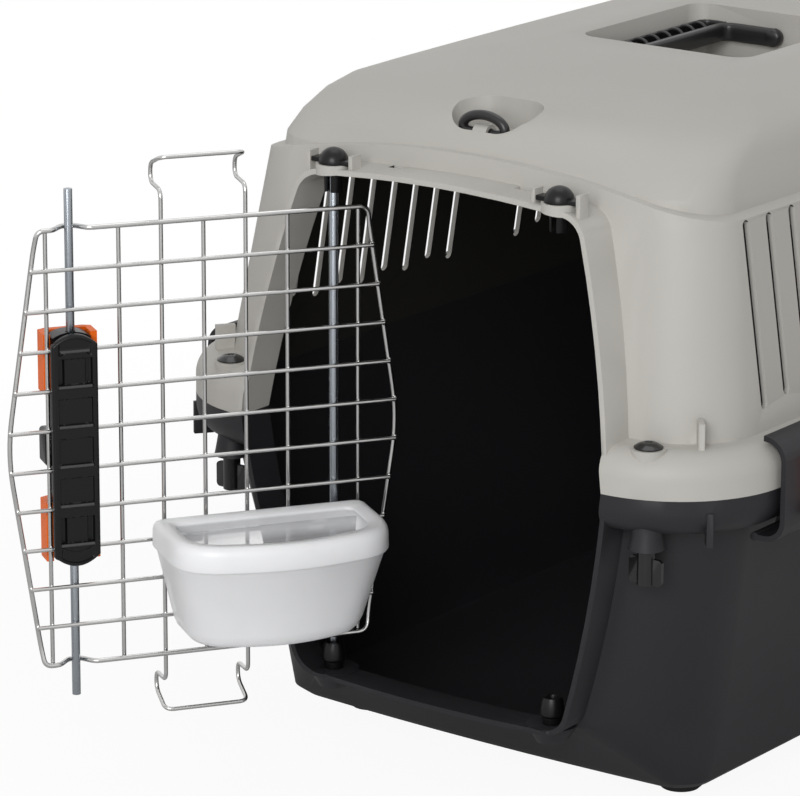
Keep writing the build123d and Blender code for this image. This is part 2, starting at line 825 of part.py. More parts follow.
# Latch cover in front of the wires: a hollow trough with a mid wall and a finger bar
with BuildPart() as latch_front_cover:
    with BuildSketch(latch_plane(cover_back)):
        add(latch_outline(latch_cover_width, latch_cover_length, latch_plate_arch / 2))
    extrude(amount=latch_cover_depth)
    fillet(latch_front_cover.faces().sort_by(Axis.Y)[0].edges(), latch_skin)
    with BuildSketch(latch_plane(-running_gap)):
        RectangleRounded(button_width, grip_length, latch_skin)
    extrude(amount=latch_cover_depth - cover_back + grip_stand)
    with BuildSketch(latch_plane(cover_back)):
        add(
            latch_outline(
                latch_cover_width - 2 * latch_skin, latch_cover_length - 2 * latch_skin, latch_plate_arch / 2
            )
        )
        Rectangle(latch_cover_width, latch_skin, mode=Mode.SUBTRACT)
    extrude(amount=latch_cover_depth - latch_skin, mode=Mode.SUBTRACT)
    with BuildSketch(latch_plane(cover_front - grip_stand)):
        with GridLocations(1, 2 * (button_offset + tongue_offset) - latch_travel, 1, 2):
            Rectangle(tongue_width + 2 * running_gap, tongue_length + latch_travel + 2 * running_gap)
    extrude(amount=-latch_skin - grip_stand, mode=Mode.SUBTRACT)
    with Locations((latch_reach, 0, latch_height)):
        Cylinder(latch_rod_diameter / 2 + running_gap, 2 * latch_cover_length, mode=Mode.SUBTRACT)
        Box(latch_cover_width - 2 * latch_skin, latch_cover_depth, latch_skin + wall)
    with Locations((latch_reach, cover_back, latch_height)):
        Box(
            2 * button_width,
            2 * wall,
            latch_cover_length,
            align=(Align.CENTER, Align.MIN, Align.CENTER),
            mode=Mode.SUBTRACT,
        )


def latch_button(up):
    """A squeeze button that straddles the cover, with a tongue that grips its rod."""
    centre = latch_height + up * button_offset
    tongue = latch_height + up * (button_offset + tongue_offset)
    pad_back = cover_front - running_gap
    pad_front = pad_back - button_pad
    wing = (button_width - latch_cover_width) / 2 - running_gap
    with BuildPart() as button:
        with BuildSketch(Plane.XY.offset(centre - button_length / 2)):
            with BuildLine():
                Polyline(
                    (latch_reach - button_width / 2, -running_gap),
                    (latch_reach - button_width / 2, pad_front + button_pad / 2),
                    (latch_reach - button_width / 2 + button_pad, pad_front),
                    (latch_reach + button_width / 2 - button_pad, pad_front),
                    (latch_reach + button_width / 2, pad_front + button_pad / 2),
                    (latch_reach + button_width / 2, -running_gap),
                    (latch_reach + button_width / 2 - wing, -running_gap),
                    (latch_reach + button_width / 2 - wing, pad_back),
                    (latch_reach - button_width / 2 + wing, pad_back),
                    (latch_reach - button_width / 2 + wing, -running_gap),
                    close=True,
                )
            make_face()
        extrude(amount=button_length)
        with Locations((latch_reach, cover_back - running_gap, tongue)):
            Box(
                tongue_width,
                cover_back - running_gap - pad_back,
                tongue_length,
                align=(Align.CENTER, Align.MAX, Align.CENTER),
            )
        with Locations((latch_reach, 0, tongue)):
            Cylinder(latch_rod_diameter / 2, 2 * tongue_length, mode=Mode.SUBTRACT)
    return button.part


def latch_rod(low, high):
    """A straight rod of the latch between two heights."""
    with BuildPart() as rod:
        with Locations((latch_reach, 0, low)):
            Cylinder(latch_rod_diameter / 2, high - low, align=(Align.CENTER, Align.CENTER, Align.MIN))
    return rod.part


tongue_root = button_offset + tongue_offset - tongue_length / 2
spring_root = (latch_skin + wall) / 2


def latch_spring(up):
    """The sleeve that stands for a spring between the cover's mid wall and a tongue."""
    length = tongue_root - spring_root
    centre = (latch_reach, (cover_back + cover_skin_back) / 2, latch_height + up * (spring_root + length / 2))
    with BuildPart() as sleeve:
        with Locations(centre):
            Cylinder(spring_diameter / 2, length)
            Cylinder(spring_bore / 2, length, mode=Mode.SUBTRACT)
    return sleeve.part


upper_latch_button = latch_button(1)
lower_latch_button = latch_button(-1)
upper_latch_rod = latch_rod(latch_height + tongue_root, rod_top)
lower_latch_rod = latch_rod(rod_bottom, latch_height - tongue_root)
upper_latch_spring = latch_spring(1)
lower_latch_spring = latch_spring(-1)


def bowl_outline(width, depth, back, corner):
    """The bowl's outline on one level: a straight back and a bowed front."""
    side = back + depth - bowl_front_bow
    with BuildSketch() as outline:
        with BuildLine():
            Polyline((-width / 2, side), (-width / 2, back), (width / 2, back), (width / 2, side))
            ThreePointArc((width / 2, side), (0, back + depth), (-width / 2, side))
        make_face()
        rows = outline.vertices().group_by(Axis.Y)
        fillet(rows[0], bowl_back_corner)
        fillet(outline.vertices().group_by(Axis.Y)[-1], corner)
    return outline.sketch


bowl_back = cross_y + wire_diameter / 2 + bowl_gap
bowl_rows = frame_bottom + bowl_wire_row * row_pitch
band_low = bowl_top - bowl_rim_height
hook_low = bowl_rows + wire_diameter / 2 + bowl_gap
hook_front = cross_y - wire_diameter / 2 - bowl_gap - bowl_hook_thickness

# Bowl: tapered walls, a proud rim band and two hooks over a cross wire
with BuildPart() as water_bowl:
    for height, width, depth in [
        (bowl_bottom, bowl_foot_width, bowl_foot_depth),
        (band_low, bowl_width, bowl_depth - bowl_rim_step),
    ]:
        with BuildSketch(Plane.XY.offset(height)):
            with Locations((bowl_centre, 0)):
                add(bowl_outline(width, depth, bowl_back + bowl_rim_step, bowl_front_corner))
    loft(ruled=True)
    with BuildSketch(Plane.XY.offset(band_low)):
        with Locations((bowl_centre, 0)):
            add(
                bowl_outline(
                    bowl_width + 2 * bowl_rim_step,
                    bowl_depth + bowl_rim_step,
                    bowl_back,
                    bowl_front_corner + bowl_rim_step,
                )
            )
    extrude(amount=bowl_rim_height)
    for height, width, depth in [
        (bowl_bottom + bowl_wall, bowl_foot_width, bowl_foot_depth),
        (band_low, bowl_width, bowl_depth - bowl_rim_step),
        (bowl_top, bowl_width, bowl_depth - bowl_rim_step),
    ]:
        with BuildSketch(Plane.XY.offset(height)):
            with Locations((bowl_centre, 0)):
                add(
                    bowl_outline(
                        width - 2 * bowl_wall,
                        depth - 2 * bowl_wall,
                        bowl_back + bowl_rim_step + bowl_wall,
                        bowl_front_corner - bowl_wall,
                    )
                )
    loft(ruled=True, mode=Mode.SUBTRACT)
    for side in (-1, 1):
        with BuildSketch(Plane.YZ.offset(bowl_centre + side * bowl_hook_spacing / 2)):
            with BuildLine():
                Polyline(
                    (bowl_back + bowl_wall, hook_low + bowl_hook_thickness),
                    (hook_front, hook_low + bowl_hook_thickness),
                    (hook_front, hook_low - bowl_hook_drop),
                    (hook_front + bowl_hook_thickness, hook_low - bowl_hook_drop),
                    (hook_front + bowl_hook_thickness, hook_low),
                    (bowl_back + bowl_wall, hook_low),
                    close=True,
                )
            make_face()
        extrude(amount=bowl_hook_width / 2, both=True)

# Rod caps on the ledge: a dome with two ears, and a split stem whose bore takes a rod's end
dome_radius = (cap_dome_diameter**2 / 4 + cap_dome_height**2) / (2 * cap_dome_height)
with BuildPart() as rod_cap:
    with Locations((0, 0, cap_seat)):
        Cylinder(
            cap_stem_diameter / 2,
            cap_stem_length,
            align=(Align.CENTER, Align.CENTER, Align.MAX),
        )
        Box(
            2 * cap_ear_reach,
            cap_ear_width,
            cap_ear_thickness,
            align=(Align.CENTER, Align.CENTER, Align.MIN),
        )
    with BuildSketch(Plane.XZ):
        with BuildLine():
            Line((0, cap_seat), (cap_dome_diameter / 2, cap_seat))
            RadiusArc((cap_dome_diameter / 2, cap_seat), (0, cap_seat + cap_dome_height), -dome_radius)
            Line((0, cap_seat + cap_dome_height), (0, cap_seat))
        make_face()
    revolve(axis=Axis.Z)
    with Locations((0, 0, cap_seat - cap_stem_length)):
        Cylinder(
            hinge_rod_diameter / 2 + bore_gap,
            cap_stem_length,
            align=(Align.CENTER, Align.CENTER, Align.MIN),
            mode=Mode.SUBTRACT,
        )
        Box(
            cap_slot_width,
            2 * cap_stem_diameter,
            cap_stem_length - wall - cap_ear_thickness,
            align=(Align.CENTER, Align.CENTER, Align.MIN),
            mode=Mode.SUBTRACT,
        )

# Rod bushes on the sill: a barrel with a narrow foot and a bore open at the top
with BuildPart() as rod_bush:
    with BuildSketch(Plane.XZ):
        with BuildLine():
            Polyline(
                (bush_neck_diameter / 2, bush_foot + bush_height),
                (0, bush_foot + bush_height),
                (0, bush_foot),
                (bush_base_diameter / 2, bush_foot),
                (bush_base_diameter / 2, bush_foot + bush_base_height),
                (bush_diameter / 2, bush_foot + bush_belly),
            )
            ThreePointArc(
                (bush_diameter / 2, bush_foot + bush_belly),
                (bush_diameter / 2 - bore_gap, bush_foot + (bush_belly + bush_height) / 2),
                (bush_neck_diameter / 2, bush_foot + bush_height),
            )
        make_face()
    revolve(axis=Axis.Z)
    with Locations((0, 0, bush_foot + bush_bore_floor)):
        Cylinder(
            hinge_rod_diameter / 2 + bore_gap,
            bush_height,
            align=(Align.CENTER, Align.CENTER, Align.MIN),
            mode=Mode.SUBTRACT,
        )

# Shell screws: domed heads on the upper bosses and shafts down through both shells
with BuildPart() as shell_screws:
    with Locations(*corner_places(screw_x, screw_y)):
        with Locations((0, 0, screw_boss_top)):
            Cylinder(
                screw_head_diameter / 2,
                screw_head_height,
                align=(Align.CENTER, Align.CENTER, Align.MIN),
            )
            Cylinder(
                screw_shaft / 2,
                screw_boss_top - screw_boss_bottom + nut_height,
                align=(Align.CENTER, Align.CENTER, Align.MAX),
            )
    crowns = shell_screws.faces().filter_by(Axis.Z).group_by(Axis.Z)[-1]
    fillet(crowns.edges(), screw_head_height - 1)

# Wing nuts under the lower bosses: a hub with two flat wings
with BuildPart() as wing_nuts:
    with Locations(*corner_places(screw_x, screw_y)):
        with Locations((0, 0, screw_boss_bottom - screw_gap)):
            Cylinder(nut_hub_diameter / 2, nut_height, align=(Align.CENTER, Align.CENTER, Align.MAX))
        with Locations((0, 0, screw_boss_bottom - screw_gap - nut_height + nut_wing_height / 2)):
            Box(nut_span, nut_wing_thickness, nut_wing_height)
    fillet(wing_nuts.edges().filter_by(Axis.Y).group_by(SortBy.LENGTH)[0], nut_hub_diameter / 4)
    with Locations(*corner_places(screw_x, screw_y)):
        with Locations((0, 0, screw_boss_bottom)):
            Cylinder(
                screw_shaft / 2 + screw_gap / 2,
                3 * nut_height,
                mode=Mode.SUBTRACT,
            )

# One rubber foot: a disc under the floor and a spigot that snaps into its hole
with BuildPart() as foot:
    with Locations((0, 0, -foot_height)):
        Cylinder(
            foot_diameter / 2,
            foot_height + base_panel_rise,
            align=(Align.CENTER, Align.CENTER, Align.MIN),
        )
    chamfer(foot.edges().group_by(Axis.Z)[0], foot_chamfer)
    Cylinder(foot_spigot / 2, floor_top + foot_gap, align=(Align.CENTER, Align.CENTER, Align.MIN))
    with Locations((0, 0, floor_top + foot_gap)):
        Cone(
            foot_spigot_head / 2,
            foot_spigot / 3,
            wall,
            align=(Align.CENTER, Align.CENTER, Align.MIN),
        )

# Carry handle folded flat: a ribbed trough between two arms with pins in the end walls
arm_out = recess_half_length - handle_end_gap
grip_back = -handle_reach - handle_grip_width / 2
grip_front = -handle_reach + handle_grip_width / 2
grip_top = handle_axis_height + handle_grip_height / 2
with BuildPart() as carry_handle:
    with BuildSketch(Plane.XY.offset(handle_axis_height - handle_grip_height / 2)):
        with Locations((grip_back / 2, 0)):
            RectangleRounded(-grip_back, 2 * arm_out, handle_arm_width / 3)
        with Locations(((grip_front + handle_arm_width) / 2, 0)):
            Rectangle(
                handle_arm_width - grip_front, 2 * (arm_out - handle_arm_thickness), mode=Mode.SUBTRACT
            )
    extrude(amount=handle_grip_height)
    with BuildSketch(Plane.XY.offset(grip_top)):
        with Locations((-handle_reach, 0)):
            Rectangle(
                handle_grip_width - 2 * handle_skin, 2 * (arm_out - handle_arm_thickness - handle_skin)
            )
    extrude(amount=handle_skin - handle_grip_height, mode=Mode.SUBTRACT)
    for side in (-1, 1):
        with Locations((0, side * (arm_out - handle_arm_thickness / 2), handle_axis_height)):
            Cylinder(handle_arm_width / 2, handle_arm_thickness, rotation=(90, 0, 0))
        with Locations((0, side * (arm_out + recess_half_length + wall) / 2, handle_axis_height)):
            Cylinder(
                handle_pin_diameter / 2,
                recess_half_length + wall - arm_out,
                rotation=(90, 0, 0),
            )
    rib_pitch = 2 * (arm_out - handle_arm_thickness - handle_skin) / (handle_rib_count + 1)
    for rib in range(handle_rib_count):
        with BuildSketch(Plane.XZ.offset(rib_pitch * (rib - (handle_rib_count - 1) / 2))):
            with BuildLine():
                Polyline(
                    (grip_back + handle_skin, handle_axis_height),
                    (grip_back + handle_skin, grip_top - handle_grip_height + handle_skin),
                    (grip_front - handle_skin, grip_top - handle_grip_height + handle_skin),
                    (grip_front - handle_skin, handle_axis_height),
                )
                ThreePointArc(
                    (grip_front - handle_skin, handle_axis_height),
                    (-handle_reach, grip_top - handle_skin / 2),
                    (grip_back + handle_skin, handle_axis_height),
                )
            make_face()
        extrude(amount=handle_rib_thickness / 2, both=True)


def strap_ring(reach):
    """A closed strap ring that stands on its foot bar across the lug."""
    points = [
        (-ring_half_width, reach, ring_axis_height),
        (ring_half_width, reach, ring_axis_height),
        (ring_half_width, reach, ring_axis_height + ring_height),
        (-ring_half_width, reach, ring_axis_height + ring_height),
    ]
    bends = [ring_foot_bend, ring_foot_bend, ring_top_bend, ring_top_bend]
    return wire_run(points, bends, ring_wire, closed=True)


def side_clamp():
    """The right-hand clamp: a C-shaped band round the flange with a hinge rod along its foot."""
    outer_x = flange_half_width + clamp_stand + clamp_thickness / 2
    top_z = band_top + clamp_gap + clamp_thickness / 2
    with BuildPart() as clamp:
        with BuildSketch(Plane.XZ):
            with BuildLine():
                FilletPolyline(
                    (clamp_hinge_x, clamp_hinge_height),
                    (outer_x, clamp_hinge_height),
                    (outer_x, top_z),
                    (outer_x - clamp_lip, top_z),
                    radius=[clamp_foot_corner, clamp_corner - clamp_thickness / 2],
                )
            trace(line_width=clamp_thickness)
        extrude(amount=clamp_half_length, both=True)
        for reach in clamp_hook_places:
            with Locations((clamp_hinge_x, reach, clamp_hinge_height)):
                Box(
                    2 * (hook_radius + clamp_hook_gap),
                    clamp_hook_width + 2 * clamp_hook_gap,
                    2 * hook_radius,
                    mode=Mode.SUBTRACT,
                )
        with Locations((clamp_hinge_x, 0, clamp_hinge_height)):
            Cylinder(clamp_rod_diameter / 2, 2 * clamp_half_length, rotation=(90, 0, 0))
        window_height = catch_window_high - catch_window_low
        for reach in (-catch_place, catch_place):
            with Locations((outer_x, reach, (catch_window_low + catch_window_high) / 2)):
                Box(
                    2 * clamp_thickness,
                    2 * (catch_half_length - catch_window_margin),
                    window_height,
                    mode=Mode.SUBTRACT,
                )
            for side in (-1, 1):
                lug_y = reach + side * (catch_half_length + catch_stand + catch_lug / 2)
                with Locations((outer_x + clamp_thickness / 2, lug_y, catch_pin_z)):
                    Box(
                        catch_stand + catch_thickness + catch_lug / 2,
                        catch_lug,
                        catch_thickness + catch_lug,
                        align=(Align.MIN, Align.CENTER, Align.CENTER),
                    )
                with Locations((catch_pin_x, lug_y, catch_pin_z)):
                    Cylinder(
                        catch_pin_diameter / 2 + clamp_bore_gap,
                        2 * catch_lug,
                        rotation=(90, 0, 0),
                        mode=Mode.SUBTRACT,
                    )
    return clamp.part


catch_pin_x = flange_half_width + clamp_stand + clamp_thickness + catch_stand + catch_thickness / 2
catch_pin_z = catch_low + catch_thickness / 2


def clamp_catch(reach):
    """A right-hand catch: a lever on two pins, with a tab through the clamp's window."""
    with BuildPart() as catch:
        with BuildSketch(Plane.XZ.offset(-reach)):
            with BuildLine():
                Polyline(
                    (catch_pin_x, catch_pin_z),
                    (catch_pin_x, catch_window_high - catch_thickness),
                    (catch_pin_x + catch_lip, catch_high - catch_thickness / 2),
                )
            trace(line_width=catch_thickness)
            with Locations((catch_pin_x, catch_pin_z)):
                Circle(catch_thickness / 2)
        extrude(amount=catch_half_length, both=True)
        with Locations((catch_pin_x, reach, catch_pin_z)):
            Cylinder(
                catch_pin_diameter / 2,
                2 * (catch_half_length + catch_stand + catch_lug),
                rotation=(90, 0, 0),
            )
        with Locations((catch_pin_x, reach, catch_tab_height)):
            Box(
                catch_pin_x - flange_half_width - clamp_gap,
                2 * (catch_half_length - 2 * catch_window_margin),
                catch_tab,
                align=(Align.MAX, Align.CENTER, Align.MIN),
            )
    return catch.part


right_clamp = side_clamp()
front_catch = clamp_catch(-catch_place)
rear_catch = clamp_catch(catch_place)

# Every piece by name; the door's pieces swing out together to the open angle
fixed_pieces = {
    "bottom_shell": bottom_shell.part,
    "top_shell": top_shell.part,
    "carry_handle": carry_handle.part,
    "strap_ring_front": strap_ring(-ring_axis_reach),
    "strap_ring_rear": strap_ring(ring_axis_reach),
    "side_clamp_right": right_clamp,
    "side_clamp_left": mirror(right_clamp, about=Plane.YZ),
    "clamp_catch_right_front": front_catch,
    "clamp_catch_right_rear": rear_catch,
    "clamp_catch_left_front": mirror(front_catch, about=Plane.YZ),
    "clamp_catch_left_rear": mirror(rear_catch, about=Plane.YZ),
    "hinge_rod_cap": rod_cap.part.moved(Location((hinge_x, door_y, 0))),
    "latch_rod_cap": rod_cap.part.moved(Location((latch_x, door_y, 0))),
    "hinge_rod_bush": rod_bush.part.moved(Location((hinge_x, door_y, 0))),
    "latch_rod_bush": rod_bush.part.moved(Location((latch_x, door_y, 0))),
    "shell_screws": shell_screws.part,
    "wing_nuts": wing_nuts.part,
    "foot_front_left": foot.part.moved(Location((-foot_x, -foot_y, 0))),
    "foot_front_right": foot.part.moved(Location((foot_x, -foot_y, 0))),
    "foot_rear_left": foot.part.moved(Location((-foot_x, foot_y, 0))),
    "foot_rear_right": foot.part.moved(Location((foot_x, foot_y, 0))),
}
door_pieces = {
    "door_outline_wire": door_outline,
    "door_cross_wires": cross_wires.part,
    "door_upright_wires": upright_wires.part,
    "door_catch_loop": catch_loop,
    "door_hinge_rod": hinge_rod.part,
    "latch_back_plate": latch_back_plate.part,
    "latch_front_cover": latch_front_cover.part,
    "upper_latch_button": upper_latch_button,
    "lower_latch_button": lower_latch_button,
    "upper_latch_rod": upper_latch_rod,
    "lower_latch_rod": lower_latch_rod,
    "upper_latch_spring": upper_latch_spring,
    "lower_latch_spring": lower_latch_spring,
    "water_bowl": water_bowl.part,
}
for name, piece in door_pieces.items():
    fixed_pieces[name] = piece.moved(door_swing)
for name, piece in fixed_pieces.items():
    piece.label = name
    export_step(piece, f"parts/{name}.step")
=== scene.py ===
import json
import math

import bmesh
import bpy
import numpy as np
from mathutils import Matrix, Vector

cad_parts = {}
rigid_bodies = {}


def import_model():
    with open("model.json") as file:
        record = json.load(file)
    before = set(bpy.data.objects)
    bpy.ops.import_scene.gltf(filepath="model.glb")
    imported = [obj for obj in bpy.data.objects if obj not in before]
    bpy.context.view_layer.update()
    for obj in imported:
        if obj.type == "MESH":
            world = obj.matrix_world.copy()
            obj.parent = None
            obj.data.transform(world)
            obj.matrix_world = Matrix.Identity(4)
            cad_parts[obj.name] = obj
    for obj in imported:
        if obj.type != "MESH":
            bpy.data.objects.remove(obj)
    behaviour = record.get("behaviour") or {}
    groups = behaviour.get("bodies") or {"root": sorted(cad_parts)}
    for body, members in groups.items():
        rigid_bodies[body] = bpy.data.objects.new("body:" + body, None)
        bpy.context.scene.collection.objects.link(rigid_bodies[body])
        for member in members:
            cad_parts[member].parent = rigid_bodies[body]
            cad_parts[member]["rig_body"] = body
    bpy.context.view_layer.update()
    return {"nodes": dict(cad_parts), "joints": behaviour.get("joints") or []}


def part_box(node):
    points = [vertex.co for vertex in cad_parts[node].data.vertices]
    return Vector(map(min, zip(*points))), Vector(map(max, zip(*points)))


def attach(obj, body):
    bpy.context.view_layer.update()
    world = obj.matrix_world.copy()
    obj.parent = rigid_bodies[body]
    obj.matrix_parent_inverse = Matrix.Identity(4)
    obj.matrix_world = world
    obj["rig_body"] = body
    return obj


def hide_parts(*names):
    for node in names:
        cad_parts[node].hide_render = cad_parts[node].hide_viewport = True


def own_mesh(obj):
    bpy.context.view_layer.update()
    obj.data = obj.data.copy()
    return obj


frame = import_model()

# Bottom shell: a tub injection-moulded in dark grey polypropylene with a fine spark-eroded
# grain. Its wall, plinth, sill and the lower half of the flange band come out of one mould.


def material(name, paint):
    """A node material whose Principled shader and nodes are set by paint(nodes, links, shader)."""
    made = bpy.data.materials.new(name)
    made.use_nodes = True
    paint(made.node_tree.nodes, made.node_tree.links, made.node_tree.nodes["Principled BSDF"])
    return made


def grained(nodes, links, shader, colour, shade, rough, grain, relief, shine):
    """Moulded grain: fine noise raises the surface and slow noise shifts colour and roughness."""
    place = nodes.new("ShaderNodeTexCoord")
    cloud = nodes.new("ShaderNodeTexNoise")
    cloud.inputs["Scale"].default_value = 9.0
    cloud.inputs["Detail"].default_value = 4.0
    tint = nodes.new("ShaderNodeMix")
    tint.data_type = "RGBA"
    tint.inputs["A"].default_value = (*colour, 1)
    tint.inputs["B"].default_value = (*shade, 1)
    gloss = nodes.new("ShaderNodeMapRange")
    gloss.inputs["To Min"].default_value = rough - 0.05
    gloss.inputs["To Max"].default_value = rough + 0.06
    speck = nodes.new("ShaderNodeTexNoise")
    speck.inputs["Scale"].default_value = grain
    speck.inputs["Detail"].default_value = 3.0
    bump = nodes.new("ShaderNodeBump")
    bump.inputs["Strength"].default_value = relief
    bump.inputs["Distance"].default_value = 0.0002
    shader.inputs["Specular IOR Level"].default_value = shine
    links.new(place.outputs["Object"], cloud.inputs["Vector"])
    links.new(place.outputs["Object"], speck.inputs["Vector"])
    links.new(cloud.outputs["Fac"], tint.inputs["Factor"])
    links.new(tint.outputs["Result"], shader.inputs["Base Color"])
    links.new(cloud.outputs["Fac"], gloss.inputs["Value"])
    links.new(gloss.outputs["Result"], shader.inputs["Roughness"])
    links.new(speck.outputs["Fac"], bump.inputs["Height"])
    links.new(bump.outputs["Normal"], shader.inputs["Normal"])


def plastic(name, colour, shade, rough=0.5, grain=1400.0, relief=0.25, shine=0.4):
    """Moulded plastic in one colour with a second, slightly different one clouded into it."""
    return material(name, lambda *tree: grained(*tree, colour, shade, rough, grain, relief, shine))


def smoothed(node, finish, bevel=0.0004, crease=32.0):
    """The CAD piece as one welded skin with smooth curves, softened edges and its finish."""
    mesh = frame["nodes"][node].data.copy()
    welded = bmesh.new()
    welded.from_mesh(mesh)
    bmesh.ops.remove_doubles(welded, verts=welded.verts, dist=1e-6)
    welded.to_mesh(mesh)
    welded.free()
    mesh.shade_smooth()
    mesh.set_sharp_from_angle(angle=math.radians(crease))
    mesh.materials.clear()
    mesh.materials.append(finish)
    piece = bpy.data.objects.new(f"{node}_skin", mesh)
    bpy.context.scene.collection.objects.link(piece)
    edge = piece.modifiers.new("edge", "BEVEL")
    edge.width = bevel
    edge.segments = 2
    edge.limit_method = "ANGLE"
    edge.angle_limit = math.radians(crease)
    edge.harden_normals = True
    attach(piece, frame["nodes"][node]["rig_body"])
    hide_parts(node)
    return piece


dark_grey = plastic(
    "dark grey polypropylene", (0.021, 0.0205, 0.0235), (0.017, 0.0165, 0.0190), shine=0.3
)
smoothed("bottom_shell", dark_grey)

# Top shell: the light grey half, moulded in polypropylene like the bottom one, with a crowned
# roof, long vent slots down both sides and a ledge over the door. Its inner faces lie in deep
# shade, so they get a much darker grey: painted shade.


def of_faces(mesh, what):
    """The centre or the normal of every face of a mesh, one row for each face."""
    values = np.zeros(3 * len(mesh.polygons))
    mesh.polygons.foreach_get(what, values)
    return values.reshape(-1, 3)


def second_finish(mesh, finish, chosen):
    """Gives the chosen faces of a mesh a second material."""
    mesh.materials.append(finish)
    mesh.polygons.foreach_set("material_index", chosen.astype(np.int32))


light_grey = plastic(
    "light grey polypropylene", (0.510, 0.496, 0.462), (0.48, 0.466, 0.432), rough=0.52
)
# Painted shade: the light grey plastic, darkened to stand for the deep shade in the cabin.
cabin_painted_shade = plastic(
    "light grey with painted cabin shade", (0.040, 0.038, 0.035), (0.034, 0.033, 0.030), rough=0.8, shine=0.12
)
cabin_reach = np.array([0.178, 0.262])
cabin_top = 0.345
least_inward = 1.0
least_downward = 0.5
top_mesh = smoothed("top_shell", light_grey).data
centres = of_faces(top_mesh, "center")
normals = of_faces(top_mesh, "normal")
# How far a face looks inwards is its normal along the gradient of an ellipse through the walls.
inward = -(centres[:, :2] / cabin_reach**2 * normals[:, :2]).sum(1)
within = (np.abs(centres[:, :2]) < cabin_reach).all(1)
looks_in = (inward > least_inward) & (centres[:, 2] < cabin_top)
looks_down = normals[:, 2] < -least_downward
# Faces inside the cabin that look inwards or downwards get the painted shade.
second_finish(top_mesh, cabin_painted_shade, within & (looks_in | looks_down))

# Rod caps and bushes: black acetal mouldings pushed into the ledge and onto the sill, where
# they carry the ends of the door's two rods.
black = plastic(
    "black acetal",
    (0.0045, 0.0045, 0.0048),
    (0.006, 0.006, 0.0063),
    rough=0.32,
    grain=900.0,
    relief=0.1,
    shine=0.28,
)
for node in ("hinge_rod_cap", "latch_rod_cap", "hinge_rod_bush", "latch_rod_bush"):
    smoothed(node, black, bevel=0.0003)

# Screws and wing nuts: four screws moulded in black nylon, with lens-shaped heads, through both
# flanges. Each has a wing nut turned on by hand under the lower boss.


def turned(foot, axis, profile, sides=14):
    """A turned form: each (distance, radius) row of the profile is a circle round the axis."""
    foot = np.asarray(foot, float)
    axis = np.asarray(axis, float) / np.linalg.norm(axis)
    askew = (0.36, 0.48, 0.8)
    across = np.cross(axis, askew)
    across = across / np.linalg.norm(across)
    lift = np.cross(axis, across)
    angle = np.linspace(0, 2 * math.pi, sides, endpoint=False)[None, :, None]
    circle = np.cos(angle) * across + np.sin(angle) * lift
    along, radius = np.asarray(profile, float).T[:, :, None, None]
    return foot + along * axis + radius * circle


def skin(name, grids, finish, body, node=None, closed=False, crease=40.0):
    """One mesh from grids of points, rows by columns: columns always close into rings, and rows
    close too where closed is set."""
    points = []
    faces = []
    first = 0
    for grid in grids:
        rows, columns = grid.shape[:2]
        row = np.arange(rows if closed else rows - 1)[:, None]
        column = np.arange(columns)[None, :]
        corners = [(row, column), (row, column + 1), (row + 1, column + 1), (row + 1, column)]
        quads = np.stack([(r % rows) * columns + c % columns for r, c in corners], -1)
        faces += (quads.reshape(-1, 4) + first).tolist()
        points.append(grid.reshape(-1, 3))
        first += rows * columns
    mesh = bpy.data.meshes.new(name)
    mesh.from_pydata(np.vstack(points).tolist(), [], faces)
    welded = bmesh.new()
    welded.from_mesh(mesh)
    bmesh.ops.remove_doubles(welded, verts=welded.verts, dist=1e-6)
    bmesh.ops.recalc_face_normals(welded, faces=welded.faces)
    welded.to_mesh(mesh)
    welded.free()
    mesh.shade_smooth()
    mesh.set_sharp_from_angle(angle=math.radians(crease))
    mesh.materials.append(finish)
    piece = bpy.data.objects.new(name, mesh)
    bpy.context.scene.collection.objects.link(piece)
    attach(piece, body)
    if node:
        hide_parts(node)
    return piece


glossy_black = plastic(
    "glossy black nylon",
    (0.006, 0.006, 0.0065),
    (0.008, 0.008, 0.0085),
    rough=0.2,
    grain=900.0,
    relief=0.05,
    shine=0.5,
)
screw_low, screw_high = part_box("shell_screws")
screw_length = screw_high[2] - screw_low[2]
shank_radius = 0.0030
tip_bevel = 0.0004
tip_height = 0.0006
head_radius = 0.0080
head_height = 0.0036
head_foot = screw_length - head_height
head_edge = 0.0003
head_skirt = 0.0008
dome_height = 0.0025
dimple_radius = 0.0022
dimple_floor_radius = 0.0016
dimple_floor = screw_length - 0.0008
# The dome rises as a quarter of a sine while its radius narrows evenly to the dimple.
dome = np.linspace(0, 1, 9)[1:]
dome_rows = np.column_stack(
    [
        head_foot + head_skirt + dome_height * np.sin(0.5 * math.pi * dome),
        head_radius * (1 - dome) + dimple_radius * dome,
    ]
)
screw_profile = [
    (0, 0),
    (0, shank_radius - tip_bevel),
    (tip_height, shank_radius),
    (head_foot, shank_radius),
    (head_foot, head_radius - head_edge),
    (head_foot + head_edge, head_radius),
    (head_foot + head_skirt, head_radius),
    *dome_rows,
    (dimple_floor, dimple_floor_radius),
    (dimple_floor, 0),
]
screws = [
    turned((x, y, screw_low[2]), (0, 0, 1), screw_profile, 40)
    for x in (screw_low[0] + head_radius, screw_high[0] - head_radius)
    for y in (screw_low[1] + head_radius, screw_high[1] - head_radius)
]
skin("shell_screws_skin", screws, glossy_black, "shells", "shell_screws", crease=35.0)
smoothed("wing_nuts", glossy_black)

# Feet: four round pads moulded in black rubber. Each has a spigot that is snapped into a hole in
# the floor of the tub.
rubber = plastic(
    "black rubber",
    (0.018, 0.018, 0.018),
    (0.024, 0.024, 0.023),
    rough=0.7,
    grain=700.0,
    relief=0.3,
)
for node in ("foot_front_left", "foot_front_right", "foot_rear_left", "foot_rear_right"):
    smoothed(node, rubber, bevel=0.0005)

# Carry handle: a charcoal nylon moulding, hollow along the grip with eight arched ribs across
# the trough, on two smooth arms that turn on pins in the ends of the roof recess.


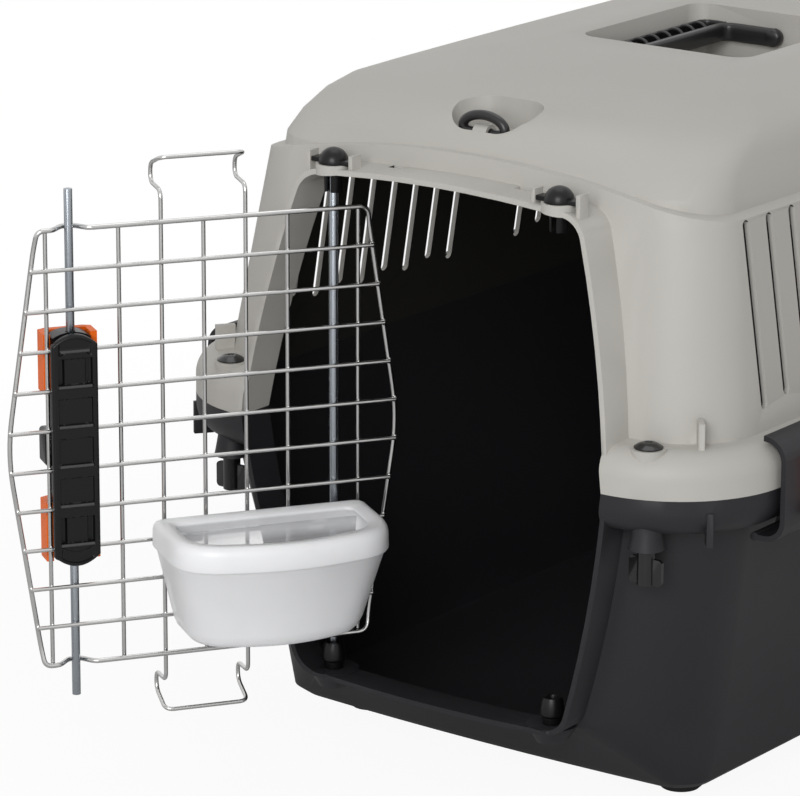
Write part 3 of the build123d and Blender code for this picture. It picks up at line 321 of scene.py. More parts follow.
def rounded(corners, bends, closed=True, steps=9):
    """A path through corners: each corner becomes a quadratic arc between the two points that
    lie its bend away along its sides, but under half of a side, and the corner is the arc's
    control point."""
    largest_share = 0.49
    corners = np.asarray(corners, float)
    back = np.roll(corners, 1, 0) - corners
    onward = np.roll(corners, -1, 0) - corners
    back_length = np.linalg.norm(back, axis=1)
    onward_length = np.linalg.norm(onward, axis=1)
    cut = np.minimum(bends, largest_share * np.minimum(back_length, onward_length))
    start = (corners + back * (cut / back_length)[:, None])[:, None]
    end = (corners + onward * (cut / onward_length)[:, None])[:, None]
    t = np.linspace(0, 1, steps)[None, :, None]
    arcs = (1 - t) ** 2 * start + 2 * t * (1 - t) * corners[:, None] + t**2 * end
    if closed:
        return arcs.reshape(-1, 3)
    return np.vstack([corners[:1], arcs[1:-1].reshape(-1, 3), corners[-1:]])


def tube(path, radius, aside, sides=14):
    """A closed tube: circles of one radius square to the path, measured from across aside."""
    ahead = np.roll(path, -1, 0) - np.roll(path, 1, 0)
    ahead = ahead / np.linalg.norm(ahead, axis=1)[:, None]
    across = np.cross(ahead, aside)
    across = across / np.linalg.norm(across, axis=1)[:, None]
    lift = np.cross(across, ahead)
    angle = np.linspace(0, 2 * math.pi, sides, endpoint=False)[None, :, None]
    circle = np.cos(angle) * across[:, None] + np.sin(angle) * lift[:, None]
    return path[:, None] + radius * circle


def capped(path, rings):
    """Rings along an open path, with a ring of no size at each end of the path to close it."""
    first = path[:1, None] + 0 * rings[:1]
    last = path[-1:, None] + 0 * rings[-1:]
    return np.concatenate([first, rings, last])


def bar(path, half_width, half_height, sides=24):
    """A bar along a path in the roof's plane: a superellipse, half_width by half_height, square
    to the path, so its faces are flat and its edges round."""
    power = 0.55
    ahead = np.empty_like(path)
    ahead[1:-1] = path[2:] - path[:-2]
    ahead[0] = path[1] - path[0]
    ahead[-1] = path[-1] - path[-2]
    ahead = ahead / np.linalg.norm(ahead, axis=1)[:, None]
    across = np.cross(ahead, (0, 0, 1.0))
    angle = np.linspace(0, 2 * math.pi, sides, endpoint=False)
    wide = np.sign(np.cos(angle)) * np.abs(np.cos(angle)) ** power * half_width
    high = np.sign(np.sin(angle)) * np.abs(np.sin(angle)) ** power * half_height
    section = wide[None, :, None] * across[:, None] + high[None, :, None] * np.array([0, 0, 1.0])
    return capped(path, path[:, None] + section)


def rod_profile(length, radius, rim):
    """A rod's profile for turned: one radius, with both ends bevelled by the rim."""
    start = [(0, 0), (0, radius - rim), (rim, radius)]
    return start + [(length - rim, radius), (length, radius - rim), (length, 0)]


charcoal = plastic(
    "charcoal nylon",
    (0.016, 0.0155, 0.017),
    (0.013, 0.0125, 0.014),
    rough=0.3,
    grain=900.0,
    relief=0.12,
    shine=0.45,
)
axis_x = -0.0006
axis_height = 0.3640
arm_outer = 0.0628
arm_half_height = 0.0055
arm_half_width = 0.0030
arm_middle = arm_outer - arm_half_width
arm_inner = arm_middle - arm_half_width
near_x = -0.0350
far_x = -0.0508
grip_middle = (near_x + far_x) / 2
grip_half = (near_x - far_x) / 2
grip_corner = 0.009
far_wall_overlap = 0.001
thin_half = 0.0012
trough_floor = axis_height - 0.0043


def bracket(first_x, last_x, half):
    """A path along one arm, over the grip and back along the other arm, with round corners."""
    corners = [(first_x, half), (last_x, half), (last_x, -half), (first_x, -half)]
    return rounded([(x, y, axis_height) for x, y in corners], grip_corner, closed=False)


near_wall = bracket(axis_x, near_x, arm_middle)
far_wall = bracket(near_x, far_x, arm_middle + far_wall_overlap)
floor_path = np.array([(grip_middle, y, trough_floor) for y in (arm_middle, -arm_middle)])
handle_parts = [
    bar(near_wall, arm_half_width, arm_half_height),
    bar(far_wall, thin_half, arm_half_height),
    bar(floor_path, grip_half, thin_half),
]
# A rib is a closed tube round a tall half ellipse on a shallow one, across the trough.
rib_count = 8
rib_radius = 0.0011
rib_pitch = 2 * arm_inner / (rib_count + 1)
rib_rise = 0.0098
rib_sag = 0.0012
rib_foot = axis_height - 0.0034
rib_setback = 0.001
rib_angle = np.linspace(0, 2 * math.pi, 40, endpoint=False)
rib_x = grip_middle - rib_setback + grip_half * np.cos(rib_angle)
rib_swing = np.where(np.sin(rib_angle) > 0, rib_rise, rib_sag)
rib_z = rib_foot + rib_swing * np.sin(rib_angle)
for rib in range(rib_count):
    rib_y = rib_pitch * (rib - (rib_count - 1) / 2)
    rib_path = np.column_stack([rib_x, 0 * rib_x + rib_y, rib_z])
    arch = tube(rib_path, rib_radius, (0, 1, 0), 10)
    handle_parts.append(np.concatenate([arch, arch[:1]]))
knuckle_radius = 0.0055
knuckle_bevel = 0.0010
knuckle = rod_profile(2 * arm_half_width, knuckle_radius, knuckle_bevel)
pin_radius = 0.0040
pin_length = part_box("carry_handle")[1][1] - arm_outer
pin = [(0, 0), (0, pin_radius), (pin_length, pin_radius), (pin_length, 0)]
for way in (-1, 1):
    handle_parts.append(turned((0, way * arm_inner, axis_height), (0, way, 0), knuckle, 28))
    handle_parts.append(turned((0, way * arm_outer, axis_height), (0, way, 0), pin, 20))
skin("carry_handle_skin", handle_parts, charcoal, "handle", "carry_handle", crease=50.0)

# Strap rings: two charcoal nylon rings with an arched top and a flat foot. Each runs through a
# lug in its pocket in the roof, on which it tips up and down.
ring_half = 0.0140
ring_axis = 0.3580
ring_distance = 0.2380
ring_radius = 0.0028
foot_rise = 0.0030
arch_rise = 0.0072
# Over its foot the path is a superellipse with nearly square corners, and above it an ellipse.
foot_power = 0.4
ring_angle = np.linspace(0, 2 * math.pi, 72, endpoint=False)
ring_cos = np.cos(ring_angle)
ring_sin = np.sin(ring_angle)
low_half = ring_sin < 0
square_cos = np.sign(ring_cos) * np.abs(ring_cos) ** foot_power
square_sin = -np.abs(ring_sin) ** foot_power
ring_x = ring_half * np.where(low_half, square_cos, ring_cos)
ring_z = ring_axis + foot_rise + np.where(low_half, foot_rise * square_sin, arch_rise * ring_sin)
for end, ring_y in (("front", -ring_distance), ("rear", ring_distance)):
    ring_path = np.column_stack([ring_x, 0 * ring_x + ring_y, ring_z])
    ring_grid = tube(ring_path, ring_radius, (0, 1, 0), 18)
    skin(f"strap_ring_{end}_skin", [ring_grid], charcoal, f"ring_{end}", f"strap_ring_{end}", True)

# Side clamps and catches: C-shaped bands moulded in dark grey polypropylene, hinged along their
# foot and closed over the flanges. A catch in orange polypropylene sits near each end.
orange = plastic(
    "orange polypropylene",
    (0.95, 0.165, 0.008),
    (0.90, 0.145, 0.006),
    rough=0.4,
    grain=900.0,
    relief=0.12,
    shine=0.2,
)
for side in ("left", "right"):
    smoothed(f"side_clamp_{side}", dark_grey, bevel=0.0005)
    for end in ("front", "rear"):
        smoothed(f"clamp_catch_{side}_{end}", orange, bevel=0.0005)

# Door grid: bright plated steel wire. The outline is one wire, bent round and closed; ten cross
# wires and five uprights are cut straight and spot-welded to it and to each other.


def plated(nodes, links, shader, colour, rough):
    """Plated steel: slow noise dulls the plating in patches, in colour and in roughness."""
    place = nodes.new("ShaderNodeTexCoord")
    patch = nodes.new("ShaderNodeTexNoise")
    patch.inputs["Scale"].default_value = 60.0
    dull = nodes.new("ShaderNodeMapRange")
    dull.inputs["To Min"].default_value = rough - 0.06
    dull.inputs["To Max"].default_value = rough + 0.1
    tint = nodes.new("ShaderNodeMix")
    tint.data_type = "RGBA"
    tint.inputs["A"].default_value = (*colour, 1)
    tint.inputs["B"].default_value = (*[0.82 * c for c in colour], 1)
    shader.inputs["Metallic"].default_value = 1.0
    links.new(place.outputs["Object"], patch.inputs["Vector"])
    links.new(patch.outputs["Fac"], dull.inputs["Value"])
    links.new(patch.outputs["Fac"], tint.inputs["Factor"])
    links.new(dull.outputs["Result"], shader.inputs["Roughness"])
    links.new(tint.outputs["Result"], shader.inputs["Base Color"])


def straight(start, end, radius, rim=0.0003):
    """A cut rod from start to end: one radius, with slightly bevelled ends."""
    span = np.subtract(end, start)
    return turned(start, span, rod_profile(np.linalg.norm(span), radius, rim))


joint_of = {joint["name"]: joint for joint in frame["joints"]}
hinge_x, hinge_y = joint_of["door_hinge"]["pos_m"][:2]
open_angle = math.radians(joint_of["door_hinge"]["range_deg"][1])


def on_door(points):
    """Points measured on the closed door, from its hinge, turned out to the open angle."""
    points = np.asarray(points, float)
    x, y, z = points[..., 0], points[..., 1], points[..., 2]
    cos, sin = math.cos(open_angle), math.sin(open_angle)
    return np.stack([hinge_x + x * cos + y * sin, hinge_y - x * sin + y * cos, z], -1)


# Sizes of the closed door in metres, from its hinge: x towards the latch, y into the carrier.
wire = 0.0012
outline_wire = 0.0014
row_count = 10
grid_height = 0.25
row_pitch = grid_height / (row_count + 1)
grid_foot = 0.0623
grid_top = grid_foot + grid_height
grid_middle = (grid_foot + grid_top) / 2
grid_centre = 0.0762
latch_x = 2 * grid_centre
cross_y = 0.0040
upright_y = cross_y - 2 * wire
side_y = cross_y - wire - outline_wire
run_y = 0.0042
half_top = 0.095
half_middle = 0.1135
side_slope = (half_middle - half_top) / (grid_top - grid_middle)
half_shoulder = half_top + side_slope * row_pitch / 2
row_heights = grid_foot + row_pitch * np.arange(1, row_count + 1)
row_halves = half_middle - side_slope * np.abs(row_heights - grid_middle)
inner_upright = 0.0486
outer_upright = 0.090
upright_steps = [-outer_upright, -inner_upright, 0.0, inner_upright, outer_upright]
upright_places = grid_centre + np.array(upright_steps)
jog_foot = 0.0102
jog_flat = 0.0032
jog_bend = 0.003
shoulder_bend = 0.009
side_bend = 0.020


def half_outline(way, end, shoulder):
    """Corners of half the outline: over one end of the grid towards the latch side, where way is
    1, or the hinge side, where it is -1, with a jog to the outside round the latch rod, then past
    the shoulder to the widest place."""
    return [
        (grid_centre - way * half_shoulder, side_y, shoulder),
        (grid_centre - way * half_top, run_y, end),
        (latch_x - way * jog_foot, run_y, end),
        (latch_x - way * jog_flat, -run_y, end),
        (latch_x + way * jog_flat, -run_y, end),
        (latch_x + way * jog_foot, run_y, end),
        (grid_centre + way * half_top, run_y, end),
        (grid_centre + way * half_shoulder, side_y, shoulder),
        (grid_centre + way * half_middle, side_y, grid_middle),
    ]


bright = material("bright plated wire", lambda *tree: plated(*tree, (0.60, 0.597, 0.59), 0.17))
outline_corners = half_outline(1, grid_top, grid_top - row_pitch / 2)
outline_corners += half_outline(-1, grid_foot, grid_foot + row_pitch / 2)
half_bends = [shoulder_bend, shoulder_bend, *4 * [jog_bend]]
half_bends += [shoulder_bend, shoulder_bend, side_bend]
outline_path = rounded(outline_corners, 2 * half_bends)
outline_grid = on_door(tube(outline_path, outline_wire, (0, 1, 0)))
skin("outline_wire_skin", [outline_grid], bright, "door", "door_outline_wire", True)

cross_grids = []
for height, half in zip(row_heights, row_halves):
    cross_start = (grid_centre - half, cross_y, height)
    cross_end = (grid_centre + half, cross_y, height)
    cross_grids.append(on_door(straight(cross_start, cross_end, wire)))
skin("cross_wires_skin", cross_grids, bright, "door", "door_cross_wires")
upright_grids = [
    on_door(straight((x, upright_y, grid_foot), (x, upright_y, grid_top), wire))
    for x in upright_places
]
skin("upright_wires_skin", upright_grids, bright, "door", "door_upright_wires")

# Catch loop: one plated steel wire bent into a closed loop and welded to the grid. Its ends step
# out and back to hook round the ledge above the doorway and the sill below it.
loop_half = 0.0243
loop_bend = 0.0052
neck_top = grid_top + 0.017
loop_out = upright_y - 0.0196
loop_back = loop_out + 0.0185
step_top = neck_top + 0.001
hook_turn = neck_top + 0.0113
hook_tip = neck_top + 0.0183
loop_side = [
    (upright_y, neck_top),
    (loop_out, step_top),
    (loop_out, hook_turn),
    (loop_back, hook_tip),
]
loop_foot_side = [(y, 2 * grid_middle - z) for y, z in loop_side]
near_leg = grid_centre - loop_half
far_leg = grid_centre + loop_half
loop = [(near_leg, y, z) for y, z in loop_side]
loop += [(far_leg, y, z) for y, z in reversed(loop_side)]
loop += [(far_leg, y, z) for y, z in loop_foot_side]
loop += [(near_leg, y, z) for y, z in reversed(loop_foot_side)]
# The tube's circles are measured from this direction, which no stretch of the loop runs along.
off_loop = (1.0, 0.7, -0.5)
loop_grid = on_door(tube(rounded(loop, loop_bend), wire, off_loop))
skin("catch_loop_skin", [loop_grid], bright, "door", "door_catch_loop", True)

# Spot welds: where two wires of the grid cross, the welder pressed them together and left a
# small nugget of the wires' own steel, under the same bright plating.
weld_half = 0.0021
weld_radius = 0.0012
side_weld_radius = 0.0013


def nugget(x, height, radius):
    """A spot weld between the wires: an upright ellipsoid, as circles along its axis."""
    angle = np.linspace(0, math.pi, 7)
    profile = np.column_stack([weld_half - weld_half * np.cos(angle), radius * np.sin(angle)])
    return on_door(turned((x, cross_y - wire, height - weld_half), (0, 0, 1), profile, 8))


weld_places = np.concatenate([upright_places, [near_leg, far_leg]])
welds = [nugget(x, height, weld_radius) for x in weld_places for height in row_heights]
welds += [
    nugget(grid_centre + way * half, height, side_weld_radius)
    for way in (-1, 1)
    for height, half in zip(row_heights, row_halves)
]
skin("spot_welds", welds, bright, "door")

# Hinge rod, latch rods and springs: thicker steel rods with a bluish zinc finish, the latch rods
# pressed into their buttons, and two coil springs of zinc-plated wire inside the latch's cover.
zinc = material("zinc steel", lambda *tree: plated(*tree, (0.38, 0.41, 0.445), 0.24))
for node in ("door_hinge_rod", "upper_latch_rod", "lower_latch_rod"):
    smoothed(node, zinc, bevel=0.0003)


def coil(foot, length, radius, thickness, turns):
    """A coil spring: circles of the wire's thickness round a helix that climbs from its foot."""
    upwards = np.array([0, 0, 1.0])
    share = np.linspace(0, 1, 20 * turns + 1)
    sweep = 2 * math.pi * turns * share
    outward = np.column_stack([np.cos(sweep), np.sin(sweep), 0 * sweep])
    climb = thickness + (length - 2 * thickness) * share
    path = np.asarray(foot) + radius * outward + np.outer(climb, upwards)
    around = np.linspace(0, 2 * math.pi, 8, endpoint=False)[None, :, None]
    circle = np.cos(around) * outward[:, None] + np.sin(around) * upwards
    return capped(path, path[:, None] + thickness * circle)


spring_wire = 0.0004
spring_turns = 14
for end, fixed in (("upper", 0), ("lower", 1)):
    spring_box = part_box(f"{end}_latch_spring")
    middle_x, middle_y, _ = [(low + high) / 2 for low, high in zip(*spring_box)]
    spring_length = spring_box[1][2] - spring_box[0][2]
    spring_radius = (spring_box[1][0] - spring_box[0][0]) / 2 - spring_wire
    spring_foot = (middle_x, middle_y, spring_box[0][2])
    coils = coil(spring_foot, spring_length, spring_radius, spring_wire, spring_turns)
    spring = skin(f"{end}_latch_spring_skin", [coils], zinc, "door", f"{end}_latch_spring")
    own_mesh(spring)

# Latch: a cover and a plate moulded in black acetal, joined by pegs between the wires of the
# door, and two buttons in orange polypropylene that are squeezed together.
smoothed("latch_front_cover", black, bevel=0.0008)
for node in ("upper_latch_button", "lower_latch_button"):
    smoothed(node, orange, bevel=0.0018)

# Sizes of the plate, from its middle: across towards the latch side and along upwards.
clearance = 0.0003
plate_middle = 0.1873
plate_half_length = 0.0665
plate_half_width = 0.0130
plate_arch = 0.0060
plate_front = cross_y + wire + clearance
plate_face = plate_front + 0.0040
plate_roll = 0.0012
plate_roll_depth = 0.0010
cell_places = (-2, -1, 0, 1, 2)
cell_half_width = 0.0095
cell_half_length = 0.0075
cell_depth = 0.0014
slot_inner = 0.0062
slot_depth = 0.0018
bead_place = -cell_half_length - 0.0008
bead_half = 0.0010
bead_reach = 0.0099
bead_height = 0.0007
end_bead_place = 0.0573
end_bead_half = 0.0009
end_bead_reach = 0.0086
end_bead_height = 0.0005
hollow_half_width = 0.0090
hollow_start = 0.0022
hollow_stop = 0.0088
hollow_depth = 0.0009
soft_end = 0.0008


def step(value, edge, blur=0.0003):
    """Nought below the edge and one above it, with a smooth cubic rise over the blur."""
    share = np.clip((value - edge) / blur + 0.5, 0, 1)
    return share * share * (3 - 2 * share)


def ridge(distance, half):
    """The height of a round ridge, as a half ellipse: one at its middle and nought at half."""
    return np.clip(1 - (distance / half) ** 2, 0, 1) ** 0.5


def plate_relief(across, along):
    """Height of the plate's face over its flat: five pockets at the pitch of the wires, each
    with a bead under it, deep slots beside the floors of the two outer pockets, a shallow arched
    hollow at each end, one more bead near the top and an edge that rolls over."""
    rise = np.zeros(np.broadcast(across, along).shape)
    for place in cell_places:
        up = along - place * row_pitch
        inside = step(cell_half_width - np.abs(across), 0) * step(cell_half_length - np.abs(up), 0)
        rise -= cell_depth * inside
        if place in (cell_places[0], cell_places[-1]):
            rise -= slot_depth * inside * step(np.abs(across), slot_inner)
        bead = ridge(up - bead_place, bead_half)
        rise += bead_height * bead * step(bead_reach - np.abs(across), 0, soft_end)
    from_end = plate_half_length - plate_arch * (across / plate_half_width) ** 2 - np.abs(along)
    hollow = step(hollow_half_width - np.abs(across), 0)
    hollow = hollow * step(from_end, hollow_start) * step(hollow_stop - from_end, 0)
    rise -= hollow_depth * hollow
    end_bead = ridge(along - end_bead_place, end_bead_half)
    rise += end_bead_height * end_bead * step(end_bead_reach - np.abs(across), 0, soft_end)
    from_rim = np.minimum(plate_half_width - np.abs(across), from_end)
    rise -= plate_roll_depth * (1 - np.clip(from_rim / plate_roll, 0, 1)) ** 2
    return rise


# Each row of the grid is a ring, over the face and back along the flat front of the plate. The
# first and last rings are repeated in that flat, which closes the two arched ends.
across = np.linspace(-plate_half_width, plate_half_width, 66)[None, :]
half_length = plate_half_length - plate_arch * (across / plate_half_width) ** 2
along = np.linspace(-1, 1, 268)[:, None] * half_length
face_x = latch_x + across + 0 * along
face_y = plate_face + plate_relief(across, along)
face = np.stack([face_x, face_y, plate_middle + along], -1)
flat = face[:, ::-1].copy()
flat[..., 1] = plate_front
plate_rings = np.concatenate([face, flat], 1)
ends = plate_rings[[0, -1]].copy()
ends[..., 1] = plate_front
plate_rings = np.concatenate([ends[:1], plate_rings, ends[1:]])
peg_x = 0.0068
peg_radius = 0.0018
peg_tip = -0.0086
pegs = []
for x in (latch_x - peg_x, latch_x + peg_x):
    for z in (plate_middle - row_pitch, plate_middle + row_pitch):
        pegs.append(on_door(straight((x, plate_front, z), (x, peg_tip, z), peg_radius)))
plate_parts = [on_door(plate_rings), *pegs]
skin("latch_plate_skin", plate_parts, black, "door", "latch_back_plate", crease=50.0)
# Painted highlight: thin rods in a lighter black along the beads' tops stand for the light they
# catch.
painted_highlight_black = plastic(
    "black acetal with painted highlight",
    (0.060, 0.060, 0.062),
    (0.045, 0.045, 0.047),
    rough=0.3,
    grain=900.0,
    relief=0.1,
)
highlight_bead_radius = 0.0009
highlight_bead_half = 0.0096
highlight_end_bead_half = 0.0084
highlight_bead_places = [(place * row_pitch + bead_place, highlight_bead_half) for place in cell_places]
highlight_bead_places.append((end_bead_place, highlight_end_bead_half))
beads = []
for up, half in highlight_bead_places:
    bead_start = (latch_x - half, plate_face, plate_middle + up)
    bead_end = (latch_x + half, plate_face, plate_middle + up)
    beads.append(on_door(straight(bead_start, bead_end, highlight_bead_radius)))
skin("latch_plate_highlight_beads", beads, painted_highlight_black, "door")

# Bowl: one thin moulding in milky translucent polypropylene, with a straight back, a bowed
# front and a wide rim that slopes inwards. Two hooks on its back hang over a wire of the door.
bowl_x = 0.047
bowl_back = 0.0055
bowl_foot = 0.078
band_foot = 0.128
bowl_rim = 0.143
bowl_bow = 0.014
back_corner = 0.006


def milky(nodes, links, shader, walls, rim):
    """Thin translucent plastic: part of the light goes straight through the walls, less through
    the thick rim, and slow noise clouds both while finer noise ripples the skin."""
    place = nodes.new("ShaderNodeTexCoord")
    height = nodes.new("ShaderNodeSeparateXYZ")
    wall = nodes.new("ShaderNodeMapRange")
    wall.inputs["From Min"].default_value = band_foot - 0.003
    wall.inputs["From Max"].default_value = band_foot + 0.002
    wall.inputs["To Min"].default_value = walls
    wall.inputs["To Max"].default_value = rim
    cloud = nodes.new("ShaderNodeTexNoise")
    cloud.inputs["Scale"].default_value = 22.0
    thick = nodes.new("ShaderNodeMapRange")
    thick.inputs["To Min"].default_value = -0.06
    thick.inputs["To Max"].default_value = 0.10
    total = nodes.new("ShaderNodeMath")
    ripple = nodes.new("ShaderNodeTexNoise")
    ripple.inputs["Scale"].default_value = 90.0
    bump = nodes.new("ShaderNodeBump")
    bump.inputs["Strength"].default_value = 0.10
    bump.inputs["Distance"].default_value = 0.0004
    shader.inputs["Base Color"].default_value = (0.975, 0.98, 0.995, 1)
    shader.inputs["Roughness"].default_value = 0.34
    shader.inputs["Subsurface Weight"].default_value = 0.1
    shader.inputs["Subsurface Radius"].default_value = (1.0, 1.0, 1.0)
    shader.inputs["Subsurface Scale"].default_value = 0.003
    links.new(place.outputs["Object"], height.inputs["Vector"])
    links.new(height.outputs["Z"], wall.inputs["Value"])
    links.new(place.outputs["Object"], cloud.inputs["Vector"])
    links.new(cloud.outputs["Fac"], thick.inputs["Value"])
    links.new(wall.outputs["Result"], total.inputs[0])
    links.new(thick.outputs["Result"], total.inputs[1])
    links.new(total.outputs["Value"], shader.inputs["Alpha"])
    links.new(place.outputs["Object"], ripple.inputs["Vector"])
    links.new(ripple.outputs["Fac"], bump.inputs["Height"])
    links.new(bump.outputs["Normal"], shader.inputs["Normal"])


def bowl_ring(height, width, near, far, corner):
    """The bowl's outline on one level: a straight back, round corners, and a front that bows out
    as a quadratic arc. Near and far are the distances of back and front from the bowl's back."""
    half = width / 2
    back_y = bowl_back + near
    front_y = bowl_back + far
    corners = [(-half, back_y, height), (half, back_y, height)]
    corners += [(half, front_y - bowl_bow / 2, height), (0, front_y + bowl_bow / 2, height)]
    corners += [(-half, front_y - bowl_bow / 2, height)]
    whole_side = 1.0
    bends = [back_corner, back_corner, corner, whole_side, corner]
    return rounded(corners, bends) + (bowl_x, 0, 0)


# Height, width, near, far and corner of each ring: the foot and its round edge, the outer wall,
# the band under the rim, the rounded rim, the slope inwards, its lip, the inner wall and floor.
levels = [
    (bowl_foot, 0.074, 0.013, 0.038, 0.011),
    (bowl_foot, 0.088, 0.008, 0.0455, 0.015),
    (bowl_foot + 0.0012, 0.0945, 0.0045, 0.0492, 0.018),
    (bowl_foot + 0.0042, 0.0995, 0.0024, 0.0520, 0.020),
    (bowl_foot + 0.0090, 0.1035, 0.0020, 0.0542, 0.021),
    (band_foot - 0.0010, 0.1222, 0.0020, 0.0648, 0.022),
    (band_foot - 0.0002, 0.1236, 0.0014, 0.0660, 0.023),
    (band_foot + 0.0004, 0.1252, 0.0004, 0.0672, 0.0238),
    (band_foot + 0.0014, 0.1260, 0, 0.0680, 0.024),
    (bowl_rim - 0.0050, 0.1256, 0, 0.0677, 0.024),
    (bowl_rim - 0.0026, 0.1246, 0.0002, 0.0671, 0.0235),
    (bowl_rim - 0.0010, 0.1228, 0.0009, 0.0660, 0.023),
    (bowl_rim - 0.0002, 0.1202, 0.0020, 0.0646, 0.022),
    (bowl_rim, 0.1176, 0.0034, 0.0632, 0.0205),
    (bowl_rim - 0.0012, 0.1056, 0.0100, 0.0570, 0.016),
    (bowl_rim - 0.0020, 0.1046, 0.0106, 0.0564, 0.0155),
    (bowl_rim - 0.0032, 0.1050, 0.0104, 0.0566, 0.0155),
    (band_foot + 0.0060, 0.1190, 0.0040, 0.0630, 0.021),
    (band_foot - 0.0030, 0.1180, 0.0038, 0.0622, 0.021),
    (bowl_foot + 0.0090, 0.0997, 0.0042, 0.0518, 0.018),
    (bowl_foot + 0.0040, 0.0935, 0.0065, 0.0478, 0.016),
    (bowl_foot + 0.0022, 0.0820, 0.0120, 0.0420, 0.012),
]
bowl_grid = np.stack([bowl_ring(*level) for level in levels])
# The last ring of a floor, and of a hook's end, is drawn in to this share of the one before it,
# which leaves a pinhole in its middle.
drawn_in = 0.02
outer_floor, inner_floor = [
    ring.mean(0) + drawn_in * (ring - ring.mean(0)) for ring in (bowl_grid[0], bowl_grid[-1])
]
bowl_grid = np.concatenate([outer_floor[None], bowl_grid, inner_floor[None]])
milk = material("milky polypropylene", lambda *tree: milky(*tree, 0.82, 0.92))
thin_milk = material("thin milky polypropylene", lambda *tree: milky(*tree, 0.24, 0.52))
bowl_mesh = skin("bowl_skin", [on_door(bowl_grid)], milk, "bowl", "water_bowl", crease=60.0).data
# The back wall lets the wires behind it show through. It is found by its distance off the door.
back_depth = 0.0046
from_hinge = of_faces(bowl_mesh, "center")[:, :2] - (hinge_x, hinge_y)
off_door = from_hinge @ (math.sin(open_angle), math.cos(open_angle))
second_finish(bowl_mesh, thin_milk, off_door < bowl_back + back_depth)

hook_apart = 0.036
hook_half_width = 0.0045
hook_thick = 0.002
hook_drop = 0.006
hook_root = bowl_back + 0.003
hook_row = 3
hook_low = grid_foot + hook_row * row_pitch + wire + clearance
hook_front = cross_y - wire - clearance - hook_thick
hook_line = np.array(
    [
        (hook_root, hook_low + hook_thick),
        (hook_front, hook_low + hook_thick),
        (hook_front, hook_low - hook_drop),
        (hook_front + hook_thick, hook_low - hook_drop),
        (hook_front + hook_thick, hook_low),
        (hook_root, hook_low),
    ]
)
hook_middle = hook_line.mean(0)
hook_slices = [(-hook_half_width, drawn_in), (-hook_half_width, 1)]
hook_slices += [(hook_half_width, 1), (hook_half_width, drawn_in)]
hooks = []
for centre in (bowl_x - hook_apart, bowl_x + hook_apart):
    rows = []
    for aside, share in hook_slices:
        outline = hook_middle + share * (hook_line - hook_middle)
        rows.append(np.column_stack([np.full(len(outline), centre + aside), outline]))
    hooks.append(on_door(np.stack(rows)))
skin("bowl_hooks", hooks, milk, "bowl", crease=30.0)

# Studio: a pale matt floor that fades to white, a white world and two square soft lamps. The
# camera is a long lens whose place was fitted to edges seen in the photograph.


def floor_paint(nodes, links, shader):
    """Pale matt floor: it keeps the shadow near the carrier and is white to the camera far off."""
    place = nodes.new("ShaderNodeTexCoord")
    reach = nodes.new("ShaderNodeVectorMath")
    reach.operation = "LENGTH"
    fade = nodes.new("ShaderNodeMapRange")
    fade.interpolation_type = "SMOOTHSTEP"
    fade.inputs["From Min"].default_value = 0.3
    fade.inputs["From Max"].default_value = 0.9
    fade.inputs["To Min"].default_value = 0.93
    ray = nodes.new("ShaderNodeLightPath")
    seen = nodes.new("ShaderNodeMath")
    seen.operation = "MULTIPLY"
    glow = nodes.new("ShaderNodeEmission")
    blend = nodes.new("ShaderNodeMixShader")
    shader.inputs["Base Color"].default_value = (0.86, 0.86, 0.86, 1)
    shader.inputs["Roughness"].default_value = 0.9
    shader.inputs["Specular IOR Level"].default_value = 0.1
    links.new(place.outputs["Object"], reach.inputs[0])
    links.new(reach.outputs["Value"], fade.inputs["Value"])
    links.new(fade.outputs["Result"], seen.inputs[0])
    links.new(ray.outputs["Is Camera Ray"], seen.inputs[1])
    links.new(seen.outputs["Value"], blend.inputs["Fac"])
    links.new(shader.outputs["BSDF"], blend.inputs[1])
    links.new(glow.outputs["Emission"], blend.inputs[2])
    links.new(blend.outputs["Shader"], nodes["Material Output"].inputs["Surface"])


floor_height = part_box("foot_front_right")[0][2]
floor_half = 6.0
floor_square = ((-1, -1), (1, -1), (1, 1), (-1, 1))
floor_corners = [(x * floor_half, y * floor_half, floor_height) for x, y in floor_square]
floor_mesh = bpy.data.meshes.new("floor")
floor_mesh.from_pydata(floor_corners, [], [(0, 1, 2, 3)])
floor_mesh.materials.append(material("pale floor", floor_paint))
floor = bpy.data.objects.new("floor", floor_mesh)
bpy.context.scene.collection.objects.link(floor)

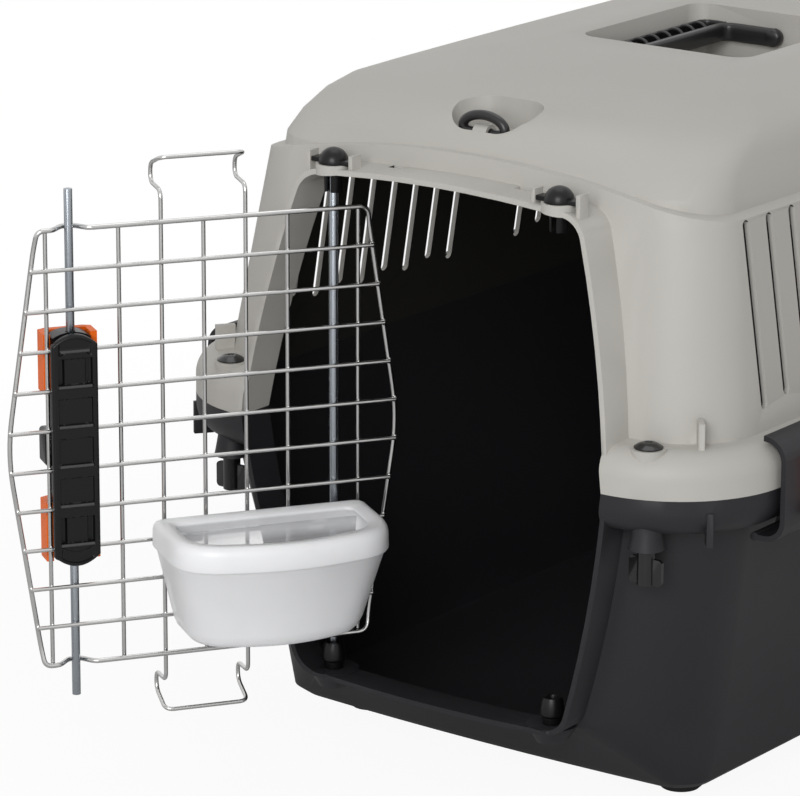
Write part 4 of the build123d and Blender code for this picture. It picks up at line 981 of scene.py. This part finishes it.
# The world is white to the camera, in reflections and through the bowl, and lights it softly.
world = bpy.data.worlds.new("studio")
bpy.context.scene.world = world
world.use_nodes = True
sky = world.node_tree.nodes
sky_links = world.node_tree.links
ray = sky.new("ShaderNodeLightPath")
seen = sky.new("ShaderNodeMath")
seen.operation = "MAXIMUM"
seen_more = sky.new("ShaderNodeMath")
seen_more.operation = "MAXIMUM"
level = sky.new("ShaderNodeMapRange")
level.inputs["To Min"].default_value = 0.35
level.inputs["To Max"].default_value = 1.0
sky_links.new(ray.outputs["Is Camera Ray"], seen.inputs[0])
sky_links.new(ray.outputs["Is Glossy Ray"], seen.inputs[1])
sky_links.new(seen.outputs["Value"], seen_more.inputs[0])
sky_links.new(ray.outputs["Is Transmission Ray"], seen_more.inputs[1])
sky_links.new(seen_more.outputs["Value"], level.inputs["Value"])
sky_links.new(level.outputs["Result"], sky["Background"].inputs["Strength"])
sky["Background"].inputs["Color"].default_value = (1, 1, 1, 1)


def stand(holder, place, back, roll=0.0):
    """Puts a lamp or a camera at a place, with its back turned to a direction and then rolled."""
    back = back / np.linalg.norm(back)
    level_side = np.cross((0, 0, 1), back)
    level_side = level_side / np.linalg.norm(level_side)
    side = math.cos(roll) * level_side + math.sin(roll) * np.cross(back, level_side)
    turn = Matrix(np.column_stack([side, np.cross(back, side), back]).tolist()).to_4x4()
    holder.matrix_world = Matrix.Translation(place) @ turn
    bpy.context.scene.collection.objects.link(holder)


carrier_middle = (0, 0, 0.2)


def lamp(name, place, size, power):
    """A square soft lamp at a place, turned towards the middle of the carrier."""
    light = bpy.data.lights.new(name, "AREA")
    light.size = size
    light.energy = power
    stand(bpy.data.objects.new(name, light), place, np.subtract(place, carrier_middle))


lamp("key", (1.1, -2.8, 1.4), size=1.5, power=47)
lamp("top", (-0.3, 0.3, 2.8), size=1.8, power=12)

azimuth = math.radians(36.756)
elevation = math.radians(16.073)
roll = math.radians(0.231)
eye = (1.3709, -2.1496, 0.8840)
lens = bpy.data.cameras.new("camera")
lens.sensor_width = 36.0
lens.lens = 197.0
camera = bpy.data.objects.new("camera", lens)
camera_back = np.array([math.sin(azimuth), -math.cos(azimuth), math.tan(elevation)])
stand(camera, eye, camera_back, roll)
bpy.context.scene.camera = camera
bpy.context.scene.view_settings.view_transform = "Standard"
